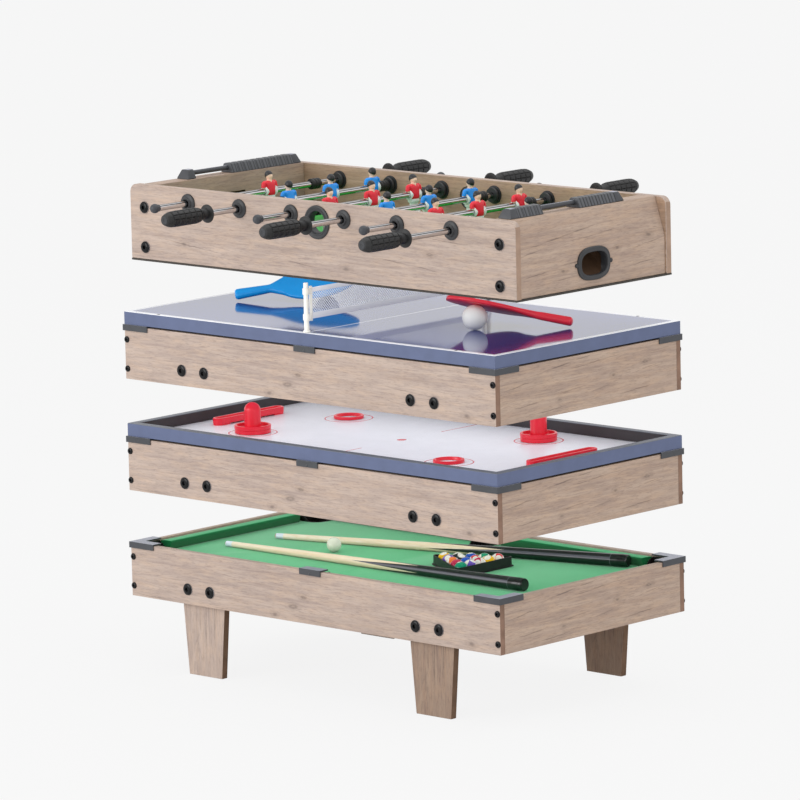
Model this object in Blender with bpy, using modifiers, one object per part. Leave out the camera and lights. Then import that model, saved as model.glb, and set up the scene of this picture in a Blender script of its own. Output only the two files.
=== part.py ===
"""Multi game table: a pool base, a slide-hockey board, a table-tennis board and a foosball cabinet.

The four tiers stand one above the other with air between them, as if each had just been lifted off the
one below. X runs along the length, Y from front to back, Z up; the origin lies on the floor under the middle.
Lengths are in metres.
"""

import math

import bmesh
import bpy
from mathutils import Matrix, Vector

# Clearances
FACE_GAP = 0.0003
CUT_OVERRUN = 0.004

# Footprint shared by the three lower tiers
TABLE_LENGTH = 0.812
TABLE_WIDTH = 0.438
WALL_HEIGHT = 0.087
WALL_THICKNESS = 0.010
BOARD_THICKNESS = 0.021

# Free air below each raised tier
HOCKEY_RAISE = 0.085
TENNIS_RAISE = 0.073
FOOSBALL_RAISE = 0.079

# Legs
LEG_CLEAR_HEIGHT = 0.118
LEG_LAP = 0.050
LEG_OFFSET_SHARE = 0.62
LEG_TOP_WIDTH = 0.094
LEG_FOOT_WIDTH = 0.074
LEG_THICKNESS = 0.012

# Fasteners of the boxes
BOLT_HEAD_RADIUS = 0.009
BOLT_HEAD_HEIGHT = 0.0035
BOLT_SHANK_RADIUS = 0.003
BOLT_PITCH = 0.050
BOLT_HEIGHT = 0.025
BOLT_END = 0.004
SCREW_HEAD_RADIUS = 0.0045
SCREW_HEAD_HEIGHT = 0.0022
SCREW_LOW_HEIGHT = 0.017
SCREW_HIGH_HEIGHT = 0.065
FASTENER_SIDES = 8

# Caps on the rims
CAP_PLATE = 0.0025
CAP_SKIRT_THICKNESS = 0.002
CAP_SKIRT_HEIGHT = 0.009
CAP_ARM = 0.050
CAP_WIDTH = 0.022
SIDE_CAP_LENGTH = 0.046

# Pool bed, cushions and pockets
PLAY_DEPTH = 0.019
BED_THICKNESS = 0.012
CUSHION_WIDTH = 0.016
CUSHION_HEIGHT = 0.0165
CUSHION_BEVEL = 0.010
POCKET_RADIUS = 0.0225
POCKET_STEPS = 4
POCKET_MARGIN = 0.002

# Pool balls, rack and cues
POOL_BALL_RADIUS = 0.0112
POOL_BALL_RINGS = 6
POOL_BALL_SEGMENTS = 12
BALL_PRESS = 0.0006
RACK_ROWS = 5
RACK_CENTRE = (0.128, 0.012)
RACK_WALL = 0.0025
RACK_HEIGHT = 0.016
RACK_PLAY = 0.0012
CUE_BALL_RADIUS = 0.012
CUE_BALL = (-0.150, -0.007)
CUE_TIP_RADIUS = 0.0045
CUE_BUTT_RADIUS = 0.0105
CUE_LENGTH_SHARE = 0.807
CUE_SIDES = 12
FRONT_CUE_TIP_SHARE = -0.872
FRONT_CUE_TIP_Y = -0.075
FRONT_CUE_HEADING = math.radians(0.5)
BACK_CUE_TIP_SHARE = -0.822
BACK_CUE_TIP_Y = 0.022
BACK_CUE_CLEARANCE = 0.0029

# Slide-hockey board
RAIL_WIDTH = 0.015
HOCKEY_FIELD_THICKNESS = 0.003
GOAL_BAR_OFFSET = 0.345
GOAL_BAR_LENGTH = 0.158
GOAL_BAR_WIDTH = 0.020
GOAL_BAR_HEIGHT = 0.010
GOAL_BAR_STEPS = 6
PUSHER_RADIUS = 0.030
PUSHER_BASE_HEIGHT = 0.011
PUSHER_RIM = 0.004
PUSHER_FLOOR = 0.005
PUSHER_KNOB_RADIUS = 0.0135
KNOB_STEPS = 4
PUSHER_HEIGHT = 0.050
LEFT_PUSHER = (-0.246, -0.091)
RIGHT_PUSHER = (0.186, 0.123)
PUCK_RADIUS = 0.025
PUCK_HOLE_RADIUS = 0.019
PUCK_HEIGHT = 0.005
LEFT_PUCK = (-0.216, 0.104)
RIGHT_PUCK = (0.205, -0.111)
ROUND_SIDES = 20

# Table-tennis board
POST_RADIUS = 0.004
POST_HEIGHT = 0.074
POST_INSET = 0.006
NET_LOW = 0.020
NET_HIGH = 0.070
NET_THICKNESS = 0.0012
NET_BAND = 0.006
NET_COLUMNS = 24
NET_ROWS = 4
NET_STRAND = 0.002
NET_ARM_HEIGHT = 0.008
NET_ARM_WIDTH = 0.006
NET_ARM_REACH = 0.004
TENNIS_BALL_RADIUS = 0.020
TENNIS_BALL_RINGS = 10
TENNIS_BALL_SEGMENTS = 14
PADDLE_LENGTH = 0.205
PADDLE_THICKNESS = 0.007
BLADE_LENGTH = 0.132
BLADE_WIDTH = 0.108
HANDLE_WIDTH = 0.018
HANDLE_THICKNESS = 0.014
HANDLE_REACH = 0.086
HANDLE_WAIST_SHARES = (0.6, 0.85)
BLADE_START = math.radians(152)
BLADE_STEPS = 9
BLUE_PADDLE_TIP = (-0.334, -0.035)
BLUE_PADDLE_HEADING = math.radians(43.6)
BLUE_PADDLE_ROLL = math.radians(22.0)
RED_PADDLE_TIP = (0.317, 0.062)
RED_PADDLE_HEADING = math.radians(211.0)
RED_PADDLE_ROLL = math.radians(16.0)
PADDLE_BALL_REACH = 0.150
PADDLE_BALL_SIDE = 0.026

# Foosball cabinet
FOOSBALL_LENGTH = 0.842
FOOSBALL_WIDTH = 0.366
FOOSBALL_HEIGHT = 0.125
FOOSBALL_WALL = 0.012
FOOSBALL_CORNER_RADIUS = 0.014
BOTTOM_THICKNESS = 0.003
END_TOP_INSET = 0.022
END_TOP_WIDTH = 0.030
END_FOOT_INSET = 0.003
END_SLOPE_HEIGHT = 0.060
FIELD_HEIGHT = 0.061
FIELD_THICKNESS = 0.006
CABINET_SCREW_INSET = 0.033
CABINET_SCREW_LOW = 0.023
CABINET_SCREW_HIGH = 0.088
CABINET_SCREW_RADIUS = 0.008
CABINET_SCREW_HEAD = 0.004

# Goals and ball entries of the cabinet
MOUTH_WIDTH = 0.062
MOUTH_HEIGHT = 0.034
MOUTH_DEPTH = 0.022
TRAY_WALL = 0.0025
OUTLET_WIDTH = 0.067
OUTLET_HEIGHT = 0.037
OUTLET_CENTRE_HEIGHT = 0.040
GOAL_RING_BORDER_X = 0.0125
GOAL_RING_BORDER_Z = 0.006
GOAL_RING_THICKNESS = 0.003
ENTRY_HEIGHT = 0.093
ENTRY_RADIUS = 0.0195
ENTRY_FLANGE_RADIUS = 0.0265
ENTRY_FLANGE_THICKNESS = 0.003
ENTRY_SIDES = 16
OVAL_POINTS = 20

# Rods, bearings and players
ROD_COUNT = 6
ROD_PITCH = 0.115
ROD_HEIGHT = 0.102
ROD_RADIUS = 0.005
ROD_SIDES = 10
ROD_PLACES = (0.004, 0.029, 0.004, 0.015, 0.004, -0.004)
ROD_BUMPER_RADIUS = 0.009
ROD_BUMPER_LENGTH = 0.020
KEEPER_TRAVEL = 0.0455
HANDLE_REACH_OUT = 0.100
STUB_REACH_OUT = 0.088
BUSH_NECK_RADIUS = 0.009
BUSH_LENGTH = 0.005
BUSH_FLANGE_RADIUS = 0.0145
BUSH_FLANGE_THICKNESS = 0.003
BUSH_SIDES = 10
BUMPER_RADIUS = 0.012
BUMPER_LENGTH = 0.009
GRIP_LENGTH = 0.097
GRIP_RADIUS = 0.013
GRIP_COLLAR_RADIUS = 0.0145
GRIP_COLLAR_THICKNESS = 0.004
GRIP_NECK_RADIUS = 0.0085
GRIP_NECK_LENGTH = 0.013
GRIP_TAPER_LENGTH = 0.006
GRIP_END_RADIUS = 0.0085
GRIP_END_LENGTH = 0.010
GRIP_BORE_DEPTH = 0.080
GRIP_SIDES = 14
STUB_CAP_RADIUS = 0.008
STUB_CAP_LENGTH = 0.016
STUB_CAP_FLOOR = 0.004
STUB_CAP_ROUND = 0.004
PLAYER_PITCH = 0.098
PLAYER_ABOVE = 0.034
PLAYER_BELOW = 0.0375
PLAYER_WIDTH = 0.028
PLAYER_DEPTH = 0.018
# Sections of a player: height share (-1 foot to +1 crown), width share, depth share
PLAYER_SECTION_SHARES = (
    (-1.00, 0.74, 1.00),
    (-0.80, 0.74, 0.94),
    (-0.70, 0.62, 0.50),
    (-0.42, 0.72, 0.58),
    (-0.24, 0.88, 0.94),
    (0.24, 0.90, 0.94),
    (0.44, 1.00, 0.74),
    (0.54, 0.36, 0.46),
    (0.62, 0.42, 0.66),
    (0.88, 0.44, 0.72),
    (1.00, 0.22, 0.36),
)
PLAYER_SECTION_SIDES = 8

# Scorers on the cabinet's ends
SCORER_LENGTH = 0.265
SCORER_SHIFT = 0.034
SCORER_BAR_RADIUS = 0.0025
SCORER_BASE_WIDTH = 0.028
SCORER_TOP_WIDTH = 0.014
SCORER_HEIGHT = 0.015
SCORER_BLOCK_LENGTH = 0.018
SCORER_BAR_HEIGHT = 0.008
BEAD_LENGTH = 0.0140
BEAD_GAP = 0.0004
BEADS_PER_SCORER = 10
BEADS_NEAR = 4
BEAD_CORE_RADIUS = 0.005
SCORER_BAR_SIDES = 8

# Heights that follow from the sizes above
CAP_TOP = WALL_HEIGHT + FACE_GAP + CAP_PLATE
BOARD_TOP = CAP_TOP + FACE_GAP + BOARD_THICKNESS
POOL_LEVEL = LEG_CLEAR_HEIGHT
HOCKEY_LEVEL = POOL_LEVEL + CAP_TOP + HOCKEY_RAISE
TENNIS_LEVEL = HOCKEY_LEVEL + BOARD_TOP + TENNIS_RAISE
FOOSBALL_LEVEL = TENNIS_LEVEL + BOARD_TOP + FOOSBALL_RAISE
CLOTH_HEIGHT = WALL_HEIGHT - PLAY_DEPTH
HOCKEY_FIELD_TOP = CAP_TOP + FACE_GAP + HOCKEY_FIELD_THICKNESS

# Inner faces
INNER_X = TABLE_LENGTH / 2 - WALL_THICKNESS
INNER_Y = TABLE_WIDTH / 2 - WALL_THICKNESS
PLAY_X = INNER_X - FACE_GAP - CUSHION_WIDTH
PLAY_Y = INNER_Y - FACE_GAP - CUSHION_WIDTH
CABINET_INNER_Y = FOOSBALL_WIDTH / 2 - FOOSBALL_WALL
CABINET_INNER_X = FOOSBALL_LENGTH / 2 - END_TOP_INSET - END_TOP_WIDTH
CABINET_SIDE_LOW = BOTTOM_THICKNESS + FACE_GAP
SCORER_X = CABINET_INNER_X + END_TOP_WIDTH / 2

# Sizes and places that follow the table: the cues' tips lie at shares of half the room between the cushions,
# and the back cue's butt lies a clearance from the back cushion
LEG_OFFSET = LEG_OFFSET_SHARE * TABLE_LENGTH / 2
CUE_LENGTH = CUE_LENGTH_SHARE * TABLE_LENGTH
BACK_CUE_BUTT_Y = PLAY_Y - CUE_BUTT_RADIUS - BACK_CUE_CLEARANCE
BACK_CUE_HEADING = math.asin((BACK_CUE_BUTT_Y - BACK_CUE_TIP_Y) / CUE_LENGTH)


def clear_scene():
    """Remove every object that the file opened with."""
    for item in list(bpy.data.objects):
        bpy.data.objects.remove(item, do_unlink=True)


def new_collection(name):
    """Return a new collection linked to the scene."""
    collection = bpy.data.collections.new(name)
    bpy.context.scene.collection.children.link(collection)
    return collection


clear_scene()
PARTS = new_collection("multi_game_table")
CUTTERS = new_collection("cutters")


def paint(name, colour, roughness, metallic=0.0):
    """Return a Principled material."""
    shade = bpy.data.materials.new(name)
    shade.use_nodes = True
    shader = shade.node_tree.nodes["Principled BSDF"]
    shader.inputs["Base Color"].default_value = (*colour, 1.0)
    shader.inputs["Roughness"].default_value = roughness
    shader.inputs["Metallic"].default_value = metallic
    shade.diffuse_color = (*colour, 1.0)
    return shade


OAK = paint("greige_oak", (0.56, 0.46, 0.38), 0.6)
CLOTH = paint("green_cloth", (0.06, 0.48, 0.19), 0.9)
BLACK_PLASTIC = paint("black_plastic", (0.02, 0.02, 0.022), 0.45)
BLUE_BOARD = paint("slate_blue_board", (0.20, 0.25, 0.40), 0.45)
TENNIS_TOP = paint("lavender_board", (0.50, 0.53, 0.68), 0.2)
WHITE_PLASTIC = paint("white_plastic", (0.85, 0.84, 0.80), 0.4)
RED_PLASTIC = paint("red_plastic", (0.82, 0.02, 0.05), 0.3)
BLUE_PLASTIC = paint("blue_plastic", (0.01, 0.26, 0.72), 0.35)
PITCH_GREEN = paint("pitch_green", (0.01, 0.30, 0.02), 0.5)
DARK_BOARD = paint("dark_board", (0.05, 0.04, 0.035), 0.7)
PALE_WOOD = paint("pale_wood", (0.80, 0.68, 0.46), 0.4)
IVORY = paint("ivory", (0.88, 0.85, 0.76), 0.25)


def mesh_from(work, name="shape"):
    """Turn a bmesh into a mesh and free it."""
    mesh = bpy.data.meshes.new(name)
    work.to_mesh(mesh)
    work.free()
    return mesh


def box_mesh(low, high):
    """Box between two corners."""
    work = bmesh.new()
    bmesh.ops.create_cube(work, size=1.0)
    size = Vector(high) - Vector(low)
    middle = (Vector(high) + Vector(low)) / 2
    bmesh.ops.scale(work, vec=size, verts=work.verts)
    bmesh.ops.translate(work, vec=middle, verts=work.verts)
    return mesh_from(work)


def rod_mesh(radius, low, high, sides, end_radius=None):
    """Closed cylinder or cone along Z between two heights."""
    work = bmesh.new()
    top_radius = radius if end_radius is None else end_radius
    bmesh.ops.create_cone(work, cap_ends=True, segments=sides, radius1=radius, radius2=top_radius,
                          depth=high - low)
    bmesh.ops.translate(work, vec=(0, 0, (low + high) / 2), verts=work.verts)
    return mesh_from(work)


def ball_mesh(radius, rings, segments):
    """Ball about the origin."""
    work = bmesh.new()
    bmesh.ops.create_uvsphere(work, u_segments=segments, v_segments=rings, radius=radius)
    return mesh_from(work)


def baked(source):
    """Return the evaluated mesh of an object, welded, and remove the object."""
    graph = bpy.context.evaluated_depsgraph_get()
    graph.update()
    mesh = bpy.data.meshes.new_from_object(source.evaluated_get(graph))
    bpy.data.objects.remove(source, do_unlink=True)
    work = bmesh.new()
    work.from_mesh(mesh)
    bmesh.ops.remove_doubles(work, verts=work.verts, dist=FACE_GAP / 10)
    return mesh_from(work)


def outline_mesh(outlines, low, high):
    """Flat outlines in XY, holes included, standing between two heights."""
    curve = bpy.data.curves.new("outline", "CURVE")
    curve.dimensions = "2D"
    curve.fill_mode = "BOTH"
    curve.extrude = (high - low) / 2
    for points in outlines:
        spline = curve.splines.new("POLY")
        spline.points.add(len(points) - 1)
        for place, (x, y) in zip(spline.points, points):
            place.co = (x, y, 0, 1)
        spline.use_cyclic_u = True
    holder = bpy.data.objects.new("outline", curve)
    PARTS.objects.link(holder)
    mesh = baked(holder)
    mesh.transform(Matrix.Translation((0, 0, (low + high) / 2)))
    return mesh


def turned_mesh(profile, sides, closed=False):
    """Turn (radius, height) points about Z; the outer side runs from top to bottom."""
    work = bmesh.new()
    places = [work.verts.new((radius, 0, height)) for radius, height in profile]
    for first, second in zip(places, places[1:]):
        work.edges.new((first, second))
    if closed:
        work.edges.new((places[-1], places[0]))
    holder = bpy.data.objects.new("turned", mesh_from(work))
    PARTS.objects.link(holder)
    screw = holder.modifiers.new("turn", "SCREW")
    screw.steps = sides
    screw.render_steps = sides
    screw.use_merge_vertices = True
    screw.merge_threshold = FACE_GAP / 10
    return baked(holder)


def joined(pieces):
    """One mesh from (mesh, matrix) pairs, each a solid of its own."""
    work = bmesh.new()
    for mesh, matrix in pieces:
        placed = mesh.copy()
        placed.transform(matrix)
        if matrix.determinant() < 0:
            placed.flip_normals()
        work.from_mesh(placed)
        bpy.data.meshes.remove(placed)
    return mesh_from(work)


def boolean(mesh, tool, operation):
    """Return mesh cut by or united with tool."""
    target = bpy.data.objects.new("target", mesh)
    other = bpy.data.objects.new("tool", tool)
    PARTS.objects.link(target)
    CUTTERS.objects.link(other)
    change = target.modifiers.new("change", "BOOLEAN")
    change.operation = operation
    change.solver = "EXACT"
    change.object = other
    result = baked(target)
    bpy.data.objects.remove(other, do_unlink=True)
    return result


def united(mesh, *tools):
    """Mesh with each tool fused to it in turn."""
    for tool in tools:
        mesh = boolean(mesh, tool, "UNION")
    return mesh


def cut(name, mesh, shade, parent, tool):
    """Add an object whose cutter stays live as a Boolean modifier."""
    item = add(name, mesh, shade, parent)
    cutter = bpy.data.objects.new(name + "_cutter", tool)
    CUTTERS.objects.link(cutter)
    cutter.parent = parent
    cutter.hide_render = True
    cutter.display_type = "WIRE"
    change = item.modifiers.new("openings", "BOOLEAN")
    change.operation = "DIFFERENCE"
    change.solver = "EXACT"
    change.object = cutter
    return item


def add(name, mesh, shade, parent, place=(0, 0, 0)):
    """Add a named object with its material."""
    mesh.name = name
    mesh.materials.clear()
    mesh.materials.append(shade)
    item = bpy.data.objects.new(name, mesh)
    item.location = place
    item.parent = parent
    PARTS.objects.link(item)
    return item


def smooth(item, angle=math.radians(40)):
    """Shade round faces smooth and keep the edges."""
    item.data.shade_smooth()
    item.data.set_sharp_from_angle(angle=angle)
    return item


def stand(name, place, parent=None):
    """Add an empty that carries other objects."""
    empty = bpy.data.objects.new(name, None)
    empty.location = place
    empty.parent = parent
    PARTS.objects.link(empty)
    return empty


def at(x, y, z=0.0, turn=0.0):
    """Matrix that turns about Z and then moves."""
    return Matrix.Translation((x, y, z)) @ Matrix.Rotation(turn, 4, "Z")


def facing_front(x, y, z):
    """Matrix that lays a Z axis along -Y, out of a front face."""
    return Matrix.Translation((x, y, z)) @ Matrix.Rotation(math.pi / 2, 4, "X")


def facing_back(x, y, z):
    """Matrix that lays a Z axis along +Y, out of a back face."""
    return Matrix.Translation((x, y, z)) @ Matrix.Rotation(-math.pi / 2, 4, "X")


def on_face(shape, half_width, places):
    """Copies of a shape whose Z axis leaves a front face, at (x, z) places."""
    return [(shape, facing_front(x, -half_width, z)) for x, z in places]


def bolt_places():
    """Pairs of bolts at each leg place, as (x, z)."""
    return [(side * LEG_OFFSET + step * BOLT_PITCH / 2, BOLT_HEIGHT)
            for side in (-1, 1) for step in (-1, 1)]


def corner_cap():
    """Cap over the corner at the origin of a front panel (towards -Y) and the end panel behind it (towards +X)."""
    reach = FACE_GAP + CAP_SKIRT_THICKNESS
    low = WALL_HEIGHT - CAP_SKIRT_HEIGHT
    block = box_mesh((-CAP_ARM, -reach, low), (reach, CAP_ARM, CAP_TOP))
    over_end = box_mesh((-CAP_ARM - CUT_OVERRUN, WALL_THICKNESS - FACE_GAP, low - CUT_OVERRUN),
                        (FACE_GAP, CAP_ARM + CUT_OVERRUN, WALL_HEIGHT + FACE_GAP))
    inside = box_mesh((-CAP_ARM - CUT_OVERRUN, CAP_WIDTH, WALL_HEIGHT - CUT_OVERRUN),
                      (-CAP_WIDTH, CAP_ARM + CUT_OVERRUN, CAP_TOP + CUT_OVERRUN))
    return boolean(boolean(block, over_end, "DIFFERENCE"), inside, "DIFFERENCE")


def side_cap():
    """Cap over the middle of a front panel's rim."""
    reach = FACE_GAP + CAP_SKIRT_THICKNESS
    low = WALL_HEIGHT - CAP_SKIRT_HEIGHT
    half = SIDE_CAP_LENGTH / 2
    block = box_mesh((-half, -reach, low), (half, CAP_WIDTH, CAP_TOP))
    inside = box_mesh((-half - CUT_OVERRUN, WALL_THICKNESS - FACE_GAP, low - CUT_OVERRUN),
                      (half + CUT_OVERRUN, CAP_WIDTH + CUT_OVERRUN, WALL_HEIGHT + FACE_GAP))
    return boolean(block, inside, "DIFFERENCE")


def front_panel(bolt_reach):
    """Long panel with its three caps, bolt heads and screws, its outer face in the plane y = 0."""
    half = TABLE_LENGTH / 2
    panel = box_mesh((-half, 0, 0), (half, WALL_THICKNESS, WALL_HEIGHT))
    corner = corner_cap()
    mirror = Matrix.Scale(-1, 4, (1, 0, 0))
    caps = joined([(corner, at(half, 0)), (corner, mirror @ at(half, 0)), (side_cap(), Matrix())])
    bolt = turned_mesh([(0, BOLT_HEAD_HEIGHT), (BOLT_HEAD_RADIUS, BOLT_HEAD_HEIGHT / 2), (BOLT_HEAD_RADIUS, -FACE_GAP),
                        (BOLT_SHANK_RADIUS, -FACE_GAP), (BOLT_SHANK_RADIUS, -bolt_reach), (0, -bolt_reach)],
                       FASTENER_SIDES)
    head = turned_mesh([(0, SCREW_HEAD_HEIGHT), (SCREW_HEAD_RADIUS, SCREW_HEAD_HEIGHT / 2),
                        (SCREW_HEAD_RADIUS, -FACE_GAP), (0, -FACE_GAP)], FASTENER_SIDES)
    screw_x = half - WALL_THICKNESS / 2
    screws = [(side * screw_x, z) for side in (-1, 1) for z in (SCREW_LOW_HEIGHT, SCREW_HIGH_HEIGHT)]
    fasteners = joined(on_face(bolt, 0, bolt_places()) + on_face(head, 0, screws))
    return united(panel, caps, fasteners)


def box_walls(tier, parent, bolt_reach):
    """Front and back panels that carry caps and fasteners, and the end panels between them."""
    half_width = TABLE_WIDTH / 2
    panel = front_panel(bolt_reach)
    front = panel.copy()
    front.transform(at(0, -half_width))
    back = panel
    back.transform(at(0, half_width, 0, math.pi))
    add(tier + "_front_panel", front, OAK, parent)
    add(tier + "_back_panel", back, OAK, parent)
    end_half = INNER_Y - FACE_GAP
    half = WALL_THICKNESS / 2
    for side, word in ((-1, "left"), (1, "right")):
        x = side * (TABLE_LENGTH / 2 - half)
        end = box_mesh((x - half, -end_half, 0), (x + half, end_half, WALL_HEIGHT))
        add(f"{tier}_{word}_panel", end, OAK, parent)


def pool_base():
    """Base tier: walls, legs and bed."""
    base = stand("pool_base", (0, 0, POOL_LEVEL))
    box_walls("pool", base, WALL_THICKNESS + FACE_GAP + LEG_THICKNESS + BOLT_END)
    legs(base)
    bed(base)
    return base


def legs(parent):
    """Four tapered boards behind the long panels, drilled for the bolts that hold them."""
    foot = -LEG_CLEAR_HEIGHT
    shape = outline_mesh([[(-LEG_FOOT_WIDTH / 2, foot), (LEG_FOOT_WIDTH / 2, foot), (LEG_TOP_WIDTH / 2, 0),
                           (LEG_TOP_WIDTH / 2, LEG_LAP), (-LEG_TOP_WIDTH / 2, LEG_LAP), (-LEG_TOP_WIDTH / 2, 0)]],
                         -LEG_THICKNESS / 2, LEG_THICKNESS / 2)
    shape.transform(Matrix.Rotation(math.pi / 2, 4, "X"))
    reach = LEG_THICKNESS / 2 + CUT_OVERRUN
    drill = rod_mesh(BOLT_SHANK_RADIUS + FACE_GAP, -reach, reach, FASTENER_SIDES)
    drills = joined(on_face(drill, 0, [(step * BOLT_PITCH / 2, BOLT_HEIGHT) for step in (-1, 1)]))
    leg = boolean(shape, drills, "DIFFERENCE")
    y = INNER_Y - FACE_GAP - LEG_THICKNESS / 2
    for sx, across in ((-1, "left"), (1, "right")):
        for sy, depth in ((-1, "front"), (1, "back")):
            add(f"leg_{depth}_{across}", leg.copy(), OAK, parent, (sx * LEG_OFFSET, sy * y, 0))


def pocket_cutters():
    """Outlines of the pocket openings: round towards the play and straight out to the walls."""
    corner_x = INNER_X - POCKET_RADIUS - FACE_GAP
    corner_y = INNER_Y - POCKET_RADIUS - FACE_GAP
    out = POCKET_RADIUS + CUT_OVERRUN
    round_corner = [(-POCKET_RADIUS * math.cos(math.pi / 2 * step / POCKET_STEPS),
                     -POCKET_RADIUS * math.sin(math.pi / 2 * step / POCKET_STEPS)) for step in range(POCKET_STEPS + 1)]
    corner = [(-POCKET_RADIUS, out)] + round_corner + [(out, -POCKET_RADIUS), (out, out)]
    half_round = [(-POCKET_RADIUS * math.cos(math.pi * step / (2 * POCKET_STEPS)),
                   -POCKET_RADIUS * math.sin(math.pi * step / (2 * POCKET_STEPS)))
                  for step in range(2 * POCKET_STEPS + 1)]
    side = [(-POCKET_RADIUS, out)] + half_round + [(POCKET_RADIUS, out)]
    outlines = [[(sx * (corner_x + x), sy * (corner_y + y)) for x, y in corner] for sx in (-1, 1) for sy in (-1, 1)]
    outlines += [[(sy * x, sy * (corner_y + y)) for x, y in side] for sy in (-1, 1)]
    low = CLOTH_HEIGHT - BED_THICKNESS - CUT_OVERRUN
    high = CLOTH_HEIGHT + CUSHION_HEIGHT + CUT_OVERRUN
    return outline_mesh(outlines, low, high)


def cushion_strips():
    """Six strips between the pockets, their ends slanted towards the play."""
    low = CLOTH_HEIGHT - FACE_GAP
    high = CLOTH_HEIGHT + CUSHION_HEIGHT
    corner_reach = 2 * POCKET_RADIUS + POCKET_MARGIN

    def strip(first, last):
        return outline_mesh([[(first, 0), (last, 0), (last - CUSHION_BEVEL, -CUSHION_WIDTH),
                              (first + CUSHION_BEVEL, -CUSHION_WIDTH)]], low, high)

    wall_y = INNER_Y - FACE_GAP
    wall_x = INNER_X - FACE_GAP
    long_strip = strip(POCKET_RADIUS + POCKET_MARGIN, INNER_X - corner_reach)
    short_half = INNER_Y - corner_reach
    short_strip = strip(-short_half, short_half)
    mirror = Matrix.Scale(-1, 4, (1, 0, 0))
    pieces = []
    for turn in (0, math.pi):
        side = Matrix.Rotation(turn, 4, "Z") @ Matrix.Translation((0, wall_y, 0))
        pieces += [(long_strip, side), (long_strip, side @ mirror)]
    for turn in (math.pi / 2, -math.pi / 2):
        pieces.append((short_strip, Matrix.Rotation(turn, 4, "Z") @ Matrix.Translation((0, wall_x, 0))))
    return joined(pieces)


def bed(parent):
    """Cloth-covered board with its cushions and six pocket openings."""
    x = INNER_X - FACE_GAP
    y = INNER_Y - FACE_GAP
    slab = box_mesh((-x, -y, CLOTH_HEIGHT - BED_THICKNESS), (x, y, CLOTH_HEIGHT))
    cut("pool_bed", united(slab, cushion_strips()), CLOTH, parent, pocket_cutters())


def cue_matrix(tip, heading):
    """Lay a cue, modelled tip down along Z, with its side on the cloth."""
    slope = math.asin((CUE_BUTT_RADIUS - CUE_TIP_RADIUS) / CUE_LENGTH)
    lift = CLOTH_HEIGHT + FACE_GAP + CUE_TIP_RADIUS / math.cos(slope)
    return (Matrix.Translation((tip[0], tip[1], lift)) @ Matrix.Rotation(heading, 4, "Z")
            @ Matrix.Rotation(math.pi / 2 - slope, 4, "Y"))


def pool_play(parent):
    """Loose pieces on the cloth: cues, cue ball, racked balls and rack."""
    cue = rod_mesh(CUE_TIP_RADIUS, 0, CUE_LENGTH, CUE_SIDES, CUE_BUTT_RADIUS)
    for name, share, y, heading in (("cue_front", FRONT_CUE_TIP_SHARE, FRONT_CUE_TIP_Y, FRONT_CUE_HEADING),
                                    ("cue_back", BACK_CUE_TIP_SHARE, BACK_CUE_TIP_Y, BACK_CUE_HEADING)):
        item = smooth(add(name, cue.copy(), PALE_WOOD, parent))
        item.matrix_local = cue_matrix((share * PLAY_X, y), heading)
    rest = CLOTH_HEIGHT + FACE_GAP + POOL_BALL_RADIUS
    white = ball_mesh(CUE_BALL_RADIUS, POOL_BALL_RINGS, POOL_BALL_SEGMENTS)
    white_rest = CLOTH_HEIGHT + FACE_GAP + CUE_BALL_RADIUS
    smooth(add("cue_ball", white, IVORY, parent, (*CUE_BALL, white_rest)))
    ball = ball_mesh(POOL_BALL_RADIUS, POOL_BALL_RINGS, POOL_BALL_SEGMENTS)
    pitch = 2 * POOL_BALL_RADIUS - BALL_PRESS
    row_step = pitch * math.sqrt(3) / 2
    reach = row_step * (RACK_ROWS - 1) * 2 / 3
    spots = [(row * row_step - reach, (slot - row / 2) * pitch) for row in range(RACK_ROWS) for slot in range(row + 1)]
    balls = [joined([(ball, at(x, y))]) for x, y in spots]
    pack = united(balls[0], *balls[1:])
    smooth(add("pool_balls", pack, RED_PLASTIC, parent, (*RACK_CENTRE, rest)))
    inner = reach + 2 * (POOL_BALL_RADIUS + RACK_PLAY)
    outer = inner + 2 * RACK_WALL

    def triangle(size):
        return [(size * math.cos(turn), size * math.sin(turn)) for turn in (math.pi, -math.pi / 3, math.pi / 3)]

    low = CLOTH_HEIGHT + FACE_GAP
    rack = outline_mesh([triangle(outer), triangle(inner)], low, low + RACK_HEIGHT)
    add("ball_rack", rack, BLACK_PLASTIC, parent, (*RACK_CENTRE, 0))


def hockey_tier(base):
    """Slide-hockey board on its box."""
    tier = stand("hockey_tier", (0, 0, HOCKEY_LEVEL - POOL_LEVEL), base)
    box_walls("hockey", tier, BOLT_END)
    low = CAP_TOP + FACE_GAP
    half_x = TABLE_LENGTH / 2
    half_y = TABLE_WIDTH / 2
    board = box_mesh((-half_x, -half_y, low), (half_x, half_y, BOARD_TOP))
    well = box_mesh((RAIL_WIDTH - half_x, RAIL_WIDTH - half_y, HOCKEY_FIELD_TOP),
                    (half_x - RAIL_WIDTH, half_y - RAIL_WIDTH, BOARD_TOP + CUT_OVERRUN))
    board = boolean(board, well, "DIFFERENCE")
    bar = goal_bar()
    bars = joined([(bar, at(side * GOAL_BAR_OFFSET, 0)) for side in (-1, 1)])
    add("hockey_board", united(board, bars), BLUE_BOARD, tier)
    hockey_play(tier)
    return tier


def stadium(half_length, half_width, points=OVAL_POINTS):
    """Outline with straight sides along Y and round ends."""
    straight = half_length - half_width
    outline = []
    for step in range(points + 1):
        turn = math.pi * step / points
        outline.append((half_width * math.cos(turn), straight + half_width * math.sin(turn)))
    outline += [(-x, -y) for x, y in outline]
    return outline


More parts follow.
